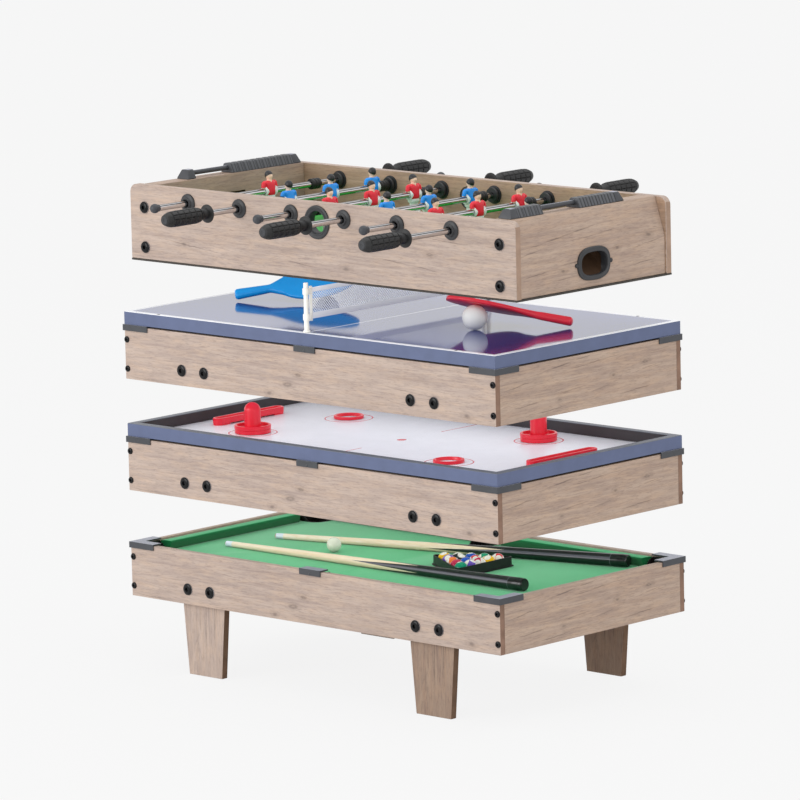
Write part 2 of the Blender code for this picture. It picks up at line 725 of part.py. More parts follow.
def goal_bar():
    """Bar with round ends, standing on the field."""
    low = HOCKEY_FIELD_TOP - FACE_GAP
    high = HOCKEY_FIELD_TOP + GOAL_BAR_HEIGHT
    return outline_mesh([stadium(GOAL_BAR_LENGTH / 2, GOAL_BAR_WIDTH / 2, GOAL_BAR_STEPS)], low, high)


def hockey_play(parent):
    """Two pushers and two ring pucks, standing on the field."""
    low = HOCKEY_FIELD_TOP + FACE_GAP
    knob_middle = PUSHER_HEIGHT - PUSHER_KNOB_RADIUS
    crown = [(PUSHER_KNOB_RADIUS * math.sin(math.pi / 2 * step / KNOB_STEPS),
              knob_middle + PUSHER_KNOB_RADIUS * math.cos(math.pi / 2 * step / KNOB_STEPS))
             for step in range(1, KNOB_STEPS + 1)]
    pusher = turned_mesh([(0, PUSHER_HEIGHT)] + crown + [
                          (PUSHER_KNOB_RADIUS, PUSHER_FLOOR), (PUSHER_RADIUS - PUSHER_RIM, PUSHER_FLOOR),
                          (PUSHER_RADIUS - PUSHER_RIM, PUSHER_BASE_HEIGHT), (PUSHER_RADIUS, PUSHER_BASE_HEIGHT),
                          (PUSHER_RADIUS, 0), (0, 0)], ROUND_SIDES)
    puck = turned_mesh([(PUCK_RADIUS, PUCK_HEIGHT), (PUCK_RADIUS, 0), (PUCK_HOLE_RADIUS, 0),
                        (PUCK_HOLE_RADIUS, PUCK_HEIGHT)], ROUND_SIDES, closed=True)
    for name, shape, (x, y) in (("pusher_left", pusher, LEFT_PUSHER), ("pusher_right", pusher, RIGHT_PUSHER),
                                ("puck_left", puck, LEFT_PUCK), ("puck_right", puck, RIGHT_PUCK)):
        smooth(add(name, shape.copy(), RED_PLASTIC, parent, (x, y, low)))


def tennis_tier(below):
    """Table-tennis board on its box, with net, paddles and balls."""
    tier = stand("tennis_tier", (0, 0, TENNIS_LEVEL - HOCKEY_LEVEL), below)
    box_walls("tennis", tier, BOLT_END)
    low = CAP_TOP + FACE_GAP
    half_x = TABLE_LENGTH / 2
    half_y = TABLE_WIDTH / 2
    add("tennis_board", box_mesh((-half_x, -half_y, low), (half_x, half_y, BOARD_TOP)), TENNIS_TOP, tier)
    tennis_net(tier)
    blue_spot = paddle("paddle_blue", tier, BLUE_PADDLE_TIP, BLUE_PADDLE_HEADING, BLUE_PADDLE_ROLL, BLUE_PLASTIC)
    red_spot = paddle("paddle_red", tier, RED_PADDLE_TIP, RED_PADDLE_HEADING, RED_PADDLE_ROLL, RED_PLASTIC)
    ball = ball_mesh(TENNIS_BALL_RADIUS, TENNIS_BALL_RINGS, TENNIS_BALL_SEGMENTS)
    smooth(add("tennis_ball_left", ball.copy(), IVORY, tier, blue_spot))
    smooth(add("tennis_ball_right", ball.copy(), IVORY, tier, red_spot))
    return tier


def net_mesh(half_width, low, high):
    """Flat net in the YZ plane with bands all round, its gaps left out of a grid and the rest thickened."""
    span_y = 2 * (half_width - NET_BAND)
    span_z = high - low - 2 * NET_BAND
    gap_y = (span_y - (NET_COLUMNS - 1) * NET_STRAND) / NET_COLUMNS
    gap_z = (span_z - (NET_ROWS - 1) * NET_STRAND) / NET_ROWS

    def stops(start, gap, count):
        places = [start, start + NET_BAND]
        for _ in range(count - 1):
            places.append(places[-1] + gap)
            places.append(places[-1] + NET_STRAND)
        places.append(places[-1] + gap)
        places.append(places[-1] + NET_BAND)
        return places

    along = stops(-half_width, gap_y, NET_COLUMNS)
    upward = stops(low, gap_z, NET_ROWS)
    work = bmesh.new()
    bmesh.ops.create_grid(work, x_segments=len(along) - 1, y_segments=len(upward) - 1, size=1.0)
    work.verts.ensure_lookup_table()
    columns = len(along)
    for number, vertex in enumerate(work.verts):
        vertex.co = (0, along[number % columns], upward[number // columns])
    holes = [face for number, face in enumerate(work.faces)
             if (number % (columns - 1)) % 2 == 1 and (number // (columns - 1)) % 2 == 1]
    bmesh.ops.delete(work, geom=holes, context="FACES")
    holder = bpy.data.objects.new("net", mesh_from(work))
    PARTS.objects.link(holder)
    thick = holder.modifiers.new("thickness", "SOLIDIFY")
    thick.thickness = NET_THICKNESS
    thick.offset = 0
    return baked(holder)


def tennis_net(parent):
    """Net hung between two posts that stand at the board's edges."""
    floor = BOARD_TOP + FACE_GAP
    post_y = TABLE_WIDTH / 2 - POST_INSET
    net_half = post_y - POST_RADIUS - NET_ARM_REACH
    net = net_mesh(net_half, floor + NET_LOW, floor + NET_HIGH)
    post = rod_mesh(POST_RADIUS, floor, floor + POST_HEIGHT, FASTENER_SIDES)
    half = NET_ARM_WIDTH / 2
    arms = [box_mesh((-half, -POST_RADIUS - NET_ARM_REACH - NET_BAND / 2, floor + height),
                     (half, 0, floor + height + NET_ARM_HEIGHT)) for height in (NET_LOW, NET_HIGH - NET_ARM_HEIGHT)]
    post = united(post, joined([(arm, Matrix()) for arm in arms]))
    posts = joined([(post, at(0, post_y)), (post, at(0, -post_y, 0, math.pi))])
    add("tennis_net", united(posts, net), WHITE_PLASTIC, parent)


def paddle_outline():
    """Outline of a paddle along +X from the handle's end: handle, flared neck and oval blade."""
    middle = PADDLE_LENGTH - BLADE_LENGTH / 2
    along_share, width_share = HANDLE_WAIST_SHARES
    upper = [(0, HANDLE_WIDTH / 2), (HANDLE_REACH * along_share, HANDLE_WIDTH / 2 * width_share)]
    for step in range(BLADE_STEPS + 1):
        turn = BLADE_START * (1 - step / BLADE_STEPS)
        upper.append((middle + BLADE_LENGTH / 2 * math.cos(turn), BLADE_WIDTH / 2 * math.sin(turn)))
    return upper + [(x, -y) for x, y in reversed(upper[:-1])]


def paddle(name, parent, tip, heading, roll, shade):
    """Lean a paddle on its handle's end and a ball; return the ball's centre.

    The pitch solves reach*sin(p) + cos(p)*(side*sin(r) - (half + R)*cos(r)) = R - tip height, so that the
    blade's underside just touches a ball of radius R that stands on the board.
    """
    blade = outline_mesh([paddle_outline()], -PADDLE_THICKNESS / 2, PADDLE_THICKNESS / 2)
    grip = box_mesh((0, -HANDLE_WIDTH / 2, -HANDLE_THICKNESS / 2),
                    (HANDLE_REACH, HANDLE_WIDTH / 2, HANDLE_THICKNESS / 2))
    shape = united(blade, grip)
    ball_reach = TENNIS_BALL_RADIUS + FACE_GAP
    tip_height = HANDLE_THICKNESS / 2 * math.cos(roll) + HANDLE_WIDTH / 2 * abs(math.sin(roll)) + FACE_GAP
    along = PADDLE_BALL_REACH
    across = PADDLE_BALL_SIDE * math.sin(roll) - (PADDLE_THICKNESS / 2 + ball_reach) * math.cos(roll)
    target = ball_reach - tip_height
    pitch = math.asin(target / math.hypot(along, across)) - math.atan2(across, along)
    tip_height += HANDLE_THICKNESS / 2 * (1 - math.cos(pitch))
    pose = (Matrix.Translation((tip[0], tip[1], BOARD_TOP + tip_height)) @ Matrix.Rotation(heading, 4, "Z")
            @ Matrix.Rotation(-pitch, 4, "Y") @ Matrix.Rotation(roll, 4, "X"))
    item = add(name, shape, shade, parent)
    item.matrix_local = pose
    contact = pose @ Vector((PADDLE_BALL_REACH, PADDLE_BALL_SIDE, -PADDLE_THICKNESS / 2 - ball_reach))
    return Vector((contact.x, contact.y, BOARD_TOP + ball_reach))


def foosball_tier(below):
    """Foosball cabinet with its field, goals, scorers and rods."""
    tier = stand("foosball_tier", (0, 0, FOOSBALL_LEVEL - TENNIS_LEVEL), below)
    cabinet_panels(tier)
    cabinet_ends(tier)
    cabinet_boards(tier)
    beads(tier)
    for number in range(ROD_COUNT):
        rod(tier, number)
    return tier


def rod_x(number):
    """Place of a rod along the cabinet."""
    return (number - (ROD_COUNT - 1) / 2) * ROD_PITCH


def rounded_panel(length, low, high, radius):
    """Outline of a long panel in XZ, its two upper corners rounded."""
    half = length / 2
    steps = 5
    outline = [(-half, low), (half, low)]
    for step in range(steps + 1):
        turn = math.pi / 2 * step / steps
        outline.append((half - radius + radius * math.cos(turn), high - radius + radius * math.sin(turn)))
    for step in range(steps + 1):
        turn = math.pi / 2 * (1 + step / steps)
        outline.append((-half + radius + radius * math.cos(turn), high - radius + radius * math.sin(turn)))
    return outline


def cabinet_panels(parent):
    """Long panels, each with its rod bushes and bumpers, ball-entry ring and screw heads."""
    outline = rounded_panel(FOOSBALL_LENGTH, CABINET_SIDE_LOW, FOOSBALL_HEIGHT, FOOSBALL_CORNER_RADIUS)
    panel = outline_mesh([outline], -FOOSBALL_WALL / 2, FOOSBALL_WALL / 2)
    panel.transform(Matrix.Translation((0, FOOSBALL_WALL / 2, 0)) @ Matrix.Rotation(math.pi / 2, 4, "X"))
    places = [(rod_x(number), ROD_HEIGHT) for number in range(ROD_COUNT)]
    inner = -FOOSBALL_WALL
    bush = turned_mesh([(0, BUSH_LENGTH), (BUSH_NECK_RADIUS, BUSH_LENGTH), (BUSH_NECK_RADIUS, BUSH_FLANGE_THICKNESS),
                        (BUSH_FLANGE_RADIUS, BUSH_FLANGE_THICKNESS), (BUSH_FLANGE_RADIUS, inner / 2),
                        (BUMPER_RADIUS, inner / 2), (BUMPER_RADIUS, inner - BUMPER_LENGTH),
                        (0, inner - BUMPER_LENGTH)], BUSH_SIDES)
    entry = rod_mesh(ENTRY_FLANGE_RADIUS, inner / 2, ENTRY_FLANGE_THICKNESS, ENTRY_SIDES)
    screw = turned_mesh([(0, CABINET_SCREW_HEAD), (CABINET_SCREW_RADIUS, CABINET_SCREW_HEAD / 2),
                         (CABINET_SCREW_RADIUS, -FACE_GAP), (0, -FACE_GAP)], FASTENER_SIDES)
    x = FOOSBALL_LENGTH / 2 - CABINET_SCREW_INSET
    screws = [(side * x, z) for side in (-1, 1) for z in (CABINET_SCREW_LOW, CABINET_SCREW_HIGH)]
    fittings = on_face(bush, 0, places) + on_face(screw, 0, screws)
    panel = united(panel, joined(fittings), joined(on_face(entry, 0, [(0, ENTRY_HEIGHT)])))
    bore = rod_mesh(ROD_RADIUS + FACE_GAP, inner - BUMPER_LENGTH - CUT_OVERRUN, BUSH_LENGTH + CUT_OVERRUN, ROD_SIDES)
    mouth = rod_mesh(ENTRY_RADIUS, inner - CUT_OVERRUN, ENTRY_FLANGE_THICKNESS + CUT_OVERRUN, ENTRY_SIDES)
    holes = joined(on_face(bore, 0, places) + on_face(mouth, 0, [(0, ENTRY_HEIGHT)]))
    panel = boolean(panel, holes, "DIFFERENCE")
    for word, side, turn in (("front", -1, 0), ("back", 1, math.pi)):
        placed = panel.copy()
        placed.transform(at(0, side * FOOSBALL_WIDTH / 2, 0, turn))
        add(f"foosball_{word}_panel", placed, OAK, parent)


def cabinet_ends(parent):
    """End blocks between the long panels, each with a goal mouth, a drop, an outlet with its ring, and a scorer."""
    upright = Matrix.Rotation(math.pi / 2, 4, "X")
    outer_top = FOOSBALL_LENGTH / 2 - END_TOP_INSET
    outer_foot = FOOSBALL_LENGTH / 2 - END_FOOT_INSET
    half = CABINET_INNER_Y - FACE_GAP
    profile = [(CABINET_INNER_X, CABINET_SIDE_LOW), (outer_foot, CABINET_SIDE_LOW),
               (outer_foot, FOOSBALL_HEIGHT - END_SLOPE_HEIGHT), (outer_top, FOOSBALL_HEIGHT),
               (CABINET_INNER_X, FOOSBALL_HEIGHT)]
    block = outline_mesh([profile], -half, half)
    block.transform(upright)
    ring_half_width = OUTLET_WIDTH / 2 + GOAL_RING_BORDER_X
    ring_half_height = OUTLET_HEIGHT / 2 + GOAL_RING_BORDER_Z
    ring = outline_mesh([oval(ring_half_width, ring_half_height)], outer_foot - GOAL_RING_THICKNESS,
                        outer_foot + GOAL_RING_THICKNESS)
    ring.transform(outlet_matrix())
    block = united(block, ring)
    drop_x = CABINET_INNER_X + TRAY_WALL
    back_x = CABINET_INNER_X + MOUTH_DEPTH
    mouth_top = FIELD_HEIGHT + MOUTH_HEIGHT
    mouth = box_mesh((CABINET_INNER_X - CUT_OVERRUN, -MOUTH_WIDTH / 2, FIELD_HEIGHT),
                     (back_x, MOUTH_WIDTH / 2, mouth_top))
    drop = box_mesh((drop_x, -MOUTH_WIDTH / 2, OUTLET_CENTRE_HEIGHT), (back_x, MOUTH_WIDTH / 2, mouth_top - CUT_OVERRUN))
    outlet = outline_mesh([oval(OUTLET_WIDTH / 2, OUTLET_HEIGHT / 2)], drop_x, outer_foot + CUT_OVERRUN)
    outlet.transform(outlet_matrix())
    for tool in (mouth, drop, outlet):
        block = boolean(block, tool, "DIFFERENCE")
    rail = scorer_rail()
    for word, side, turn in (("left", -1, math.pi), ("right", 1, 0)):
        placed = block.copy()
        placed.transform(at(0, 0, 0, turn))
        scorer = joined([(rail, at(side * SCORER_X, -side * SCORER_SHIFT, FOOSBALL_HEIGHT + FACE_GAP))])
        add(f"foosball_{word}_end", united(placed, scorer), OAK, parent)


def oval(half_width, half_height):
    """Oval outline about the origin."""
    return [(half_width * math.cos(2 * math.pi * step / OVAL_POINTS),
             half_height * math.sin(2 * math.pi * step / OVAL_POINTS)) for step in range(OVAL_POINTS)]


def outlet_matrix():
    """Turn XY outlines to face along +X at the outlet's height."""
    turn = Matrix.Rotation(math.pi / 2, 4, "Z") @ Matrix.Rotation(math.pi / 2, 4, "X")
    return Matrix.Translation((0, 0, OUTLET_CENTRE_HEIGHT)) @ turn


def cabinet_boards(parent):
    """Playing field between the walls and thin board under the cabinet."""
    x = CABINET_INNER_X - FACE_GAP
    y = CABINET_INNER_Y - FACE_GAP
    add("foosball_field", box_mesh((-x, -y, FIELD_HEIGHT - FIELD_THICKNESS), (x, y, FIELD_HEIGHT)),
        PITCH_GREEN, parent)
    half_x = FOOSBALL_LENGTH / 2
    half_y = FOOSBALL_WIDTH / 2
    add("foosball_bottom", box_mesh((-half_x, -half_y, 0), (half_x, half_y, BOTTOM_THICKNESS)), DARK_BOARD, parent)


def roof_outline(foot):
    """Cross-section of scorer blocks and beads in XZ, its foot this far below zero."""
    return [(-SCORER_BASE_WIDTH / 2, -foot), (SCORER_BASE_WIDTH / 2, -foot), (SCORER_TOP_WIDTH / 2, SCORER_HEIGHT),
            (-SCORER_TOP_WIDTH / 2, SCORER_HEIGHT)]


def scorer_bead():
    """Roof-shaped tile along Y from zero, bored for the bar."""
    upright = Matrix.Rotation(math.pi / 2, 4, "X")
    tile = outline_mesh([roof_outline(0)], -BEAD_LENGTH, 0)
    tile.transform(upright)
    bore = rod_mesh(SCORER_BAR_RADIUS + FACE_GAP, -CUT_OVERRUN, BEAD_LENGTH + CUT_OVERRUN, SCORER_BAR_SIDES)
    bore.transform(facing_back(0, 0, SCORER_BAR_HEIGHT))
    return boolean(tile, bore, "DIFFERENCE")


def scorer_rail():
    """Bar along Y between two roof-shaped blocks."""
    half = SCORER_LENGTH / 2
    block = outline_mesh([roof_outline(2 * FACE_GAP)], -SCORER_BLOCK_LENGTH / 2, SCORER_BLOCK_LENGTH / 2)
    block.transform(Matrix.Rotation(math.pi / 2, 4, "X"))
    block_y = half - SCORER_BLOCK_LENGTH / 2
    bar = rod_mesh(SCORER_BAR_RADIUS, -block_y, block_y, SCORER_BAR_SIDES)
    bar.transform(facing_back(0, 0, SCORER_BAR_HEIGHT))
    ends = joined([(block, at(0, block_y)), (block, at(0, -block_y))])
    return united(bar, ends)


def bead_stack(count):
    """A row of beads along +Y from zero that hang together by their inner rings."""
    step = BEAD_LENGTH + BEAD_GAP
    tiles = joined([(scorer_bead(), at(0, number * step)) for number in range(count)])
    core_length = count * step - BEAD_GAP
    core = turned_mesh([(BEAD_CORE_RADIUS, core_length - FACE_GAP), (BEAD_CORE_RADIUS, FACE_GAP),
                        (SCORER_BAR_RADIUS + FACE_GAP, FACE_GAP), (SCORER_BAR_RADIUS + FACE_GAP, core_length - FACE_GAP)],
                       SCORER_BAR_SIDES, closed=True)
    core.transform(facing_back(0, 0, SCORER_BAR_HEIGHT))
    return united(tiles, core)


def beads(parent):
    """Scoring beads: all of them at the far end on the left, and parted in two rows on the right."""
    step = BEAD_LENGTH + BEAD_GAP
    near = -SCORER_LENGTH / 2 + SCORER_BLOCK_LENGTH + BEAD_GAP
    far = SCORER_LENGTH / 2 - SCORER_BLOCK_LENGTH
    waiting = BEADS_PER_SCORER - BEADS_NEAR
    z = FOOSBALL_HEIGHT + FACE_GAP
    for name, count, x, y in (("scorer_beads_left", BEADS_PER_SCORER, -SCORER_X,
                               SCORER_SHIFT + far - BEADS_PER_SCORER * step),
                              ("scorer_beads_near", BEADS_NEAR, SCORER_X, near - SCORER_SHIFT),
                              ("scorer_beads_far", waiting, SCORER_X, far - waiting * step - SCORER_SHIFT)):
        add(name, bead_stack(count), BLACK_PLASTIC, parent, (x, y, z))


def player_mesh():
    """One player: rounded sections lofted from foot to crown."""
    work = bmesh.new()
    rings = []
    for height_share, width_share, depth_share in PLAYER_SECTION_SHARES:
        z = height_share * (PLAYER_ABOVE if height_share > 0 else PLAYER_BELOW)
        ring = []
        for step in range(PLAYER_SECTION_SIDES):
            turn = 2 * math.pi * (step + 0.5) / PLAYER_SECTION_SIDES
            x = PLAYER_DEPTH / 2 * depth_share * math.cos(turn) / math.cos(math.pi / PLAYER_SECTION_SIDES)
            y = PLAYER_WIDTH / 2 * width_share * math.sin(turn) / math.cos(math.pi / PLAYER_SECTION_SIDES)
            ring.append(work.verts.new((x, y, z)))
        rings.append(ring)
    for lower, upper in zip(rings, rings[1:]):
        for step in range(PLAYER_SECTION_SIDES):
            after = (step + 1) % PLAYER_SECTION_SIDES
            work.faces.new((lower[step], lower[after], upper[after], upper[step]))
    work.faces.new(list(reversed(rings[0])))
    work.faces.new(rings[-1])
    return mesh_from(work)


def grip_mesh():
    """Handle along +Z from its collar, with a blind bore for the rod."""
    neck_end = GRIP_COLLAR_THICKNESS + GRIP_NECK_LENGTH
    body_start = neck_end + GRIP_TAPER_LENGTH
    body_end = GRIP_LENGTH - GRIP_END_LENGTH
    bore = ROD_RADIUS + FACE_GAP
    return turned_mesh([(0, GRIP_LENGTH), (GRIP_END_RADIUS, GRIP_LENGTH), (GRIP_RADIUS, body_end),
                        (GRIP_RADIUS, body_start), (GRIP_NECK_RADIUS, neck_end),
                        (GRIP_NECK_RADIUS, GRIP_COLLAR_THICKNESS), (GRIP_COLLAR_RADIUS, GRIP_COLLAR_THICKNESS),
                        (GRIP_COLLAR_RADIUS, 0), (bore, 0), (bore, GRIP_BORE_DEPTH), (0, GRIP_BORE_DEPTH)], GRIP_SIDES)


def stub_cap_mesh():
    """Round cap along +Z, its open end at zero."""
    bore = ROD_RADIUS + FACE_GAP
    depth = STUB_CAP_LENGTH - STUB_CAP_FLOOR
    return turned_mesh([(0, STUB_CAP_LENGTH), (STUB_CAP_RADIUS - STUB_CAP_ROUND, STUB_CAP_LENGTH),
                        (STUB_CAP_RADIUS, STUB_CAP_LENGTH - STUB_CAP_ROUND), (STUB_CAP_RADIUS, 0), (bore, 0),
                        (bore, depth), (0, depth)], ROD_SIDES)


def rod_bumper_start(men):
    """Distance from a rod's middle to its rubber bumpers: beside the outer players, or where the keeper stops."""
    if men > 1:
        return (men - 1) / 2 * PLAYER_PITCH + PLAYER_WIDTH / 2
    return CABINET_INNER_Y - BUMPER_LENGTH - KEEPER_TRAVEL - ROD_BUMPER_LENGTH


def rod(parent, number):
    """One rod with its players, and its handle and end cap; every other rod has its handle at the front."""
    to_handle, to_stub = (facing_front(0, 0, 0), facing_back(0, 0, 0))
    if number % 2 == 0:
        to_handle, to_stub = to_stub, to_handle
    men = 1 if number in (0, ROD_COUNT - 1) else 3
    axis = stand(f"rod_{number + 1}_axis", (rod_x(number), ROD_PLACES[number], ROD_HEIGHT), parent)
    half = FOOSBALL_WIDTH / 2
    handle_start = half + HANDLE_REACH_OUT
    stub_start = half + STUB_REACH_OUT - STUB_CAP_LENGTH
    bar_top = handle_start + GRIP_BORE_DEPTH - FACE_GAP
    bar_low = stub_start + STUB_CAP_LENGTH - STUB_CAP_FLOOR - FACE_GAP
    bar = rod_mesh(ROD_RADIUS, -bar_low, bar_top, ROD_SIDES)
    bar.transform(to_handle)
    player = player_mesh()
    team = joined([(player, at(0, (slot - (men - 1) / 2) * PLAYER_PITCH)) for slot in range(men)])
    start = rod_bumper_start(men)
    bumper = rod_mesh(ROD_BUMPER_RADIUS, start, start + ROD_BUMPER_LENGTH, ROD_SIDES)
    bumpers = joined([(bumper, to_handle), (bumper, to_stub)])
    shade = BLUE_PLASTIC if number % 2 else RED_PLASTIC
    smooth(add(f"rod_{number + 1}", united(bar, team, bumpers), shade, axis))
    grip = joined([(grip_mesh(), to_handle @ Matrix.Translation((0, 0, handle_start)))])
    smooth(add(f"rod_{number + 1}_handle", grip, BLACK_PLASTIC, axis))
    cap = joined([(stub_cap_mesh(), to_stub @ Matrix.Translation((0, 0, stub_start)))])
    smooth(add(f"rod_{number + 1}_cap", cap, BLACK_PLASTIC, axis))


POOL = pool_base()
pool_play(POOL)
HOCKEY = hockey_tier(POOL)
TENNIS = tennis_tier(HOCKEY)
foosball_tier(TENNIS)
bpy.context.view_layer.update()
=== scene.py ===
"""Looks of the multi game table: pool base, slide-hockey board, table-tennis board and foosball cabinet.

Lengths are in metres. X runs along the table, Y from front to back, Z up from the floor.
A form is a tuple of points, face corners, face sizes and face marks, where a mark is the number of a finish.
"""
import math

import bmesh
import bpy
import numpy as np
from mathutils import Matrix, Vector


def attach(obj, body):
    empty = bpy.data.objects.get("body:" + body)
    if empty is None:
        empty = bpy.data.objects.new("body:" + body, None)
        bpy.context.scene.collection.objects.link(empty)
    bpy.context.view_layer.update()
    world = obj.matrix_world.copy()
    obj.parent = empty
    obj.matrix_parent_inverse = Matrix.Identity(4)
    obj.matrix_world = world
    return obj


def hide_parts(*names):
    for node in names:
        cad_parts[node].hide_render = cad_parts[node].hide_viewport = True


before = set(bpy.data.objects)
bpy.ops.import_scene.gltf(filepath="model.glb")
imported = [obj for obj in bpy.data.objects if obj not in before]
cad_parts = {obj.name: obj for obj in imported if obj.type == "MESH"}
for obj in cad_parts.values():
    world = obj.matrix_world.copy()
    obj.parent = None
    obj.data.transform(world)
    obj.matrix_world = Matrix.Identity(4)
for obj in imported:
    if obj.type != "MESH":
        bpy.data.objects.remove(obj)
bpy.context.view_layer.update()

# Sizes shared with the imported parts
GAP = 0.0003
LENGTH, WIDTH, WALL, WALL_HIGH = 0.812, 0.438, 0.010, 0.087
HALF_X, HALF_Y = LENGTH / 2, WIDTH / 2
INNER_X, INNER_Y = HALF_X - WALL, HALF_Y - WALL
CAP_TOP, BOARD_LOW, BOARD_TOP = 0.0898, 0.0901, 0.1111
LEG_X, LEG_Y, LEG_THICK = 0.62 * HALF_X, 0.2027, 0.012
CABINET_X, CABINET_Y, CABINET_WALL, CABINET_HIGH = 0.421, 0.183, 0.012, 0.125
CABINET_INNER_X, CABINET_INNER_Y = 0.369, 0.171
ROD_COUNT, ROD_STEP, ROD_RADIUS, ROD_HIGH = 6, 0.115, 0.005, 0.102
ROD_OFFSETS = (0.004, 0.029, 0.004, 0.015, 0.004, -0.004)
ROD_PLACES = [(number - 2.5) * ROD_STEP for number in range(ROD_COUNT)]
MEN_STEP = 0.098

# Heights over the floor: the lower edge of each tier, and the surfaces that things lie on
POOL, HOCKEY, TENNIS, FOOSBALL = 0.118, 0.2928, 0.4769, 0.667
CLOTH = POOL + 0.068
HOCKEY_FIELD = HOCKEY + 0.0931
TENNIS_TOP = TENNIS + BOARD_TOP
PITCH_HIGH = 0.061
PITCH_TOP = FOOSBALL + PITCH_HIGH
CABINET_RIM = FOOSBALL + CABINET_HIGH + GAP

# Edges, printed lines and smoothing
BOARD_EDGE, FINE_EDGE, THIN_EDGE = 0.0006, 0.0004, 0.0003
HAIR_GAP, PRINT_THICK = 0.00002, 0.00005
SIGNS = (-1, 1)


# Forms

def form(points, groups, mark=0):
    """Form from points and one or more arrays of faces, each array holding faces of one size."""
    groups = [np.atleast_2d(np.asarray(group, int)) for group in groups]
    corners = np.concatenate([group.ravel() for group in groups])
    sizes = np.concatenate([np.full(len(group), group.shape[1]) for group in groups])
    return np.asarray(points, float).reshape(-1, 3), corners, sizes, np.full(len(sizes), mark)


def together(forms):
    """One form that holds several."""
    starts = np.cumsum([0] + [len(one[0]) for one in forms[:-1]])
    return (np.concatenate([one[0] for one in forms]),
            np.concatenate([one[1] + start for one, start in zip(forms, starts)]),
            np.concatenate([one[2] for one in forms]), np.concatenate([one[3] for one in forms]))


def moved(one, matrix):
    """Form carried by a 4 x 4 matrix: p goes to M p."""
    grid = np.array(matrix)
    return one[0] @ grid[:3, :3].T + grid[:3, 3], one[1], one[2], one[3]


def marked(one, mark):
    """The same form with another finish."""
    return one[0], one[1], one[2], np.full(len(one[2]), mark)


def place(x=0.0, y=0.0, z=0.0, turn=0.0):
    """Turn about Z, then shift."""
    return Matrix.Translation((x, y, z)) @ Matrix.Rotation(turn, 4, "Z")


def outward(axis, sign=1):
    """Matrix that lays Z along an axis: out of a front, back or end face."""
    if axis == "Y":
        return Matrix.Rotation(-sign * math.pi / 2, 4, "X")
    return Matrix.Rotation(sign * math.pi / 2, 4, "Y")


def skin(rows, around=True, ring=False, ends=True, marks=None):
    """Surface over a grid of points: quads between neighbouring rows, each row closed on itself when around.

    ring joins the last row to the first; otherwise ends closes both with one face each. marks gives one
    finish for each strip between two rows."""
    count, across = rows.shape[:2]
    index = np.arange(count * across).reshape(count, across)
    wide = np.concatenate([index, index[:, :1]], axis=1) if around else index
    tall = np.concatenate([wide, wide[:1]]) if ring else wide
    quads = np.stack([tall[:-1, :-1], tall[:-1, 1:], tall[1:, 1:], tall[1:, :-1]], axis=-1).reshape(-1, 4)
    groups = [quads]
    if ends and not ring:
        groups += [index[:1, ::-1], index[-1:]]
    made = form(rows.reshape(-1, 3), groups)
    if marks is None:
        return made
    strips = np.repeat(np.asarray(marks), len(quads) // len(marks))
    tail = [marks[0], marks[-1]] if len(groups) > 1 else []
    return made[0], made[1], made[2], np.concatenate([strips, tail]).astype(int)


def doubled_area(outline):
    """Twice the area of a closed outline, positive when it runs anticlockwise: the sum of x y' - x' y."""
    x, y = outline.T
    return np.sum(x * np.roll(y, -1) - np.roll(x, -1) * y)


def inset(outline, depth):
    """Closed outline moved inwards: each corner goes along the sum of its two edge normals over 1 + n1.n2."""
    outline = np.asarray(outline, float)
    along = np.roll(outline, -1, axis=0) - outline
    along /= np.linalg.norm(along, axis=1, keepdims=True)
    normal = np.stack([-along[:, 1], along[:, 0]], axis=1) * (1 if doubled_area(outline) > 0 else -1)
    before = np.roll(normal, 1, axis=0)
    scale = 1 + np.sum(normal * before, axis=1, keepdims=True)
    return outline + depth * (normal + before) / np.maximum(scale, 0.3)


def soften(outline, radius, steps=4, closed=True):
    """Outline with each corner replaced by a parabola arc: it starts and ends radius away along the edges."""
    outline = np.asarray(outline, float)
    before = np.roll(outline, 1, axis=0) - outline
    after = np.roll(outline, -1, axis=0) - outline
    sizes = [np.linalg.norm(side, axis=1, keepdims=True) for side in (before, after)]
    start, end = (outline + side * (np.minimum(radius, 0.45 * size) / size)
                  for side, size in zip((before, after), sizes))
    t = np.linspace(0, 1, steps + 1)[None, :, None]
    arcs = (1 - t) ** 2 * start[:, None] + 2 * t * (1 - t) * outline[:, None] + t ** 2 * end[:, None]
    if closed:
        return arcs.reshape(-1, outline.shape[1])
    return np.concatenate([outline[:1], arcs[1:-1].reshape(-1, outline.shape[1]), outline[-1:]])


def lifted(outline, height):
    """Flat outline as a row of points at a height."""
    outline = np.asarray(outline, float)
    return np.column_stack([outline, np.full(len(outline), height)])


def prism(outline, low, high, edge=0.0, steps=3, marks=None):
    """Outline raised from low to high, its rims rounded by a quarter circle of radius edge."""
    if edge <= 0:
        return skin(np.array([lifted(outline, low), lifted(outline, high)]), marks=marks)
    turn = np.linspace(0, math.pi / 2, steps + 1)
    lower = [lifted(inset(outline, edge * (1 - math.sin(a))), low + edge * (1 - math.cos(a))) for a in turn]
    upper = [lifted(inset(outline, edge * (1 - math.cos(a))), high - edge * (1 - math.sin(a))) for a in turn]
    return skin(np.array(lower + upper), marks=marks)


def lathe(profile, sides=48, ring=False, marks=None):
    """Profile of (radius, height) turned about Z: (r cos a, r sin a, h)."""
    profile = np.asarray(profile, float)
    turn = np.linspace(0, 2 * math.pi, sides, endpoint=False)
    rows = np.stack([profile[:, :1] * np.cos(turn), profile[:, :1] * np.sin(turn),
                     np.repeat(profile[:, 1:], sides, axis=1)], axis=-1)
    return skin(rows, ring=ring, ends=profile[0, 0] > 0 or profile[-1, 0] > 0, marks=marks)


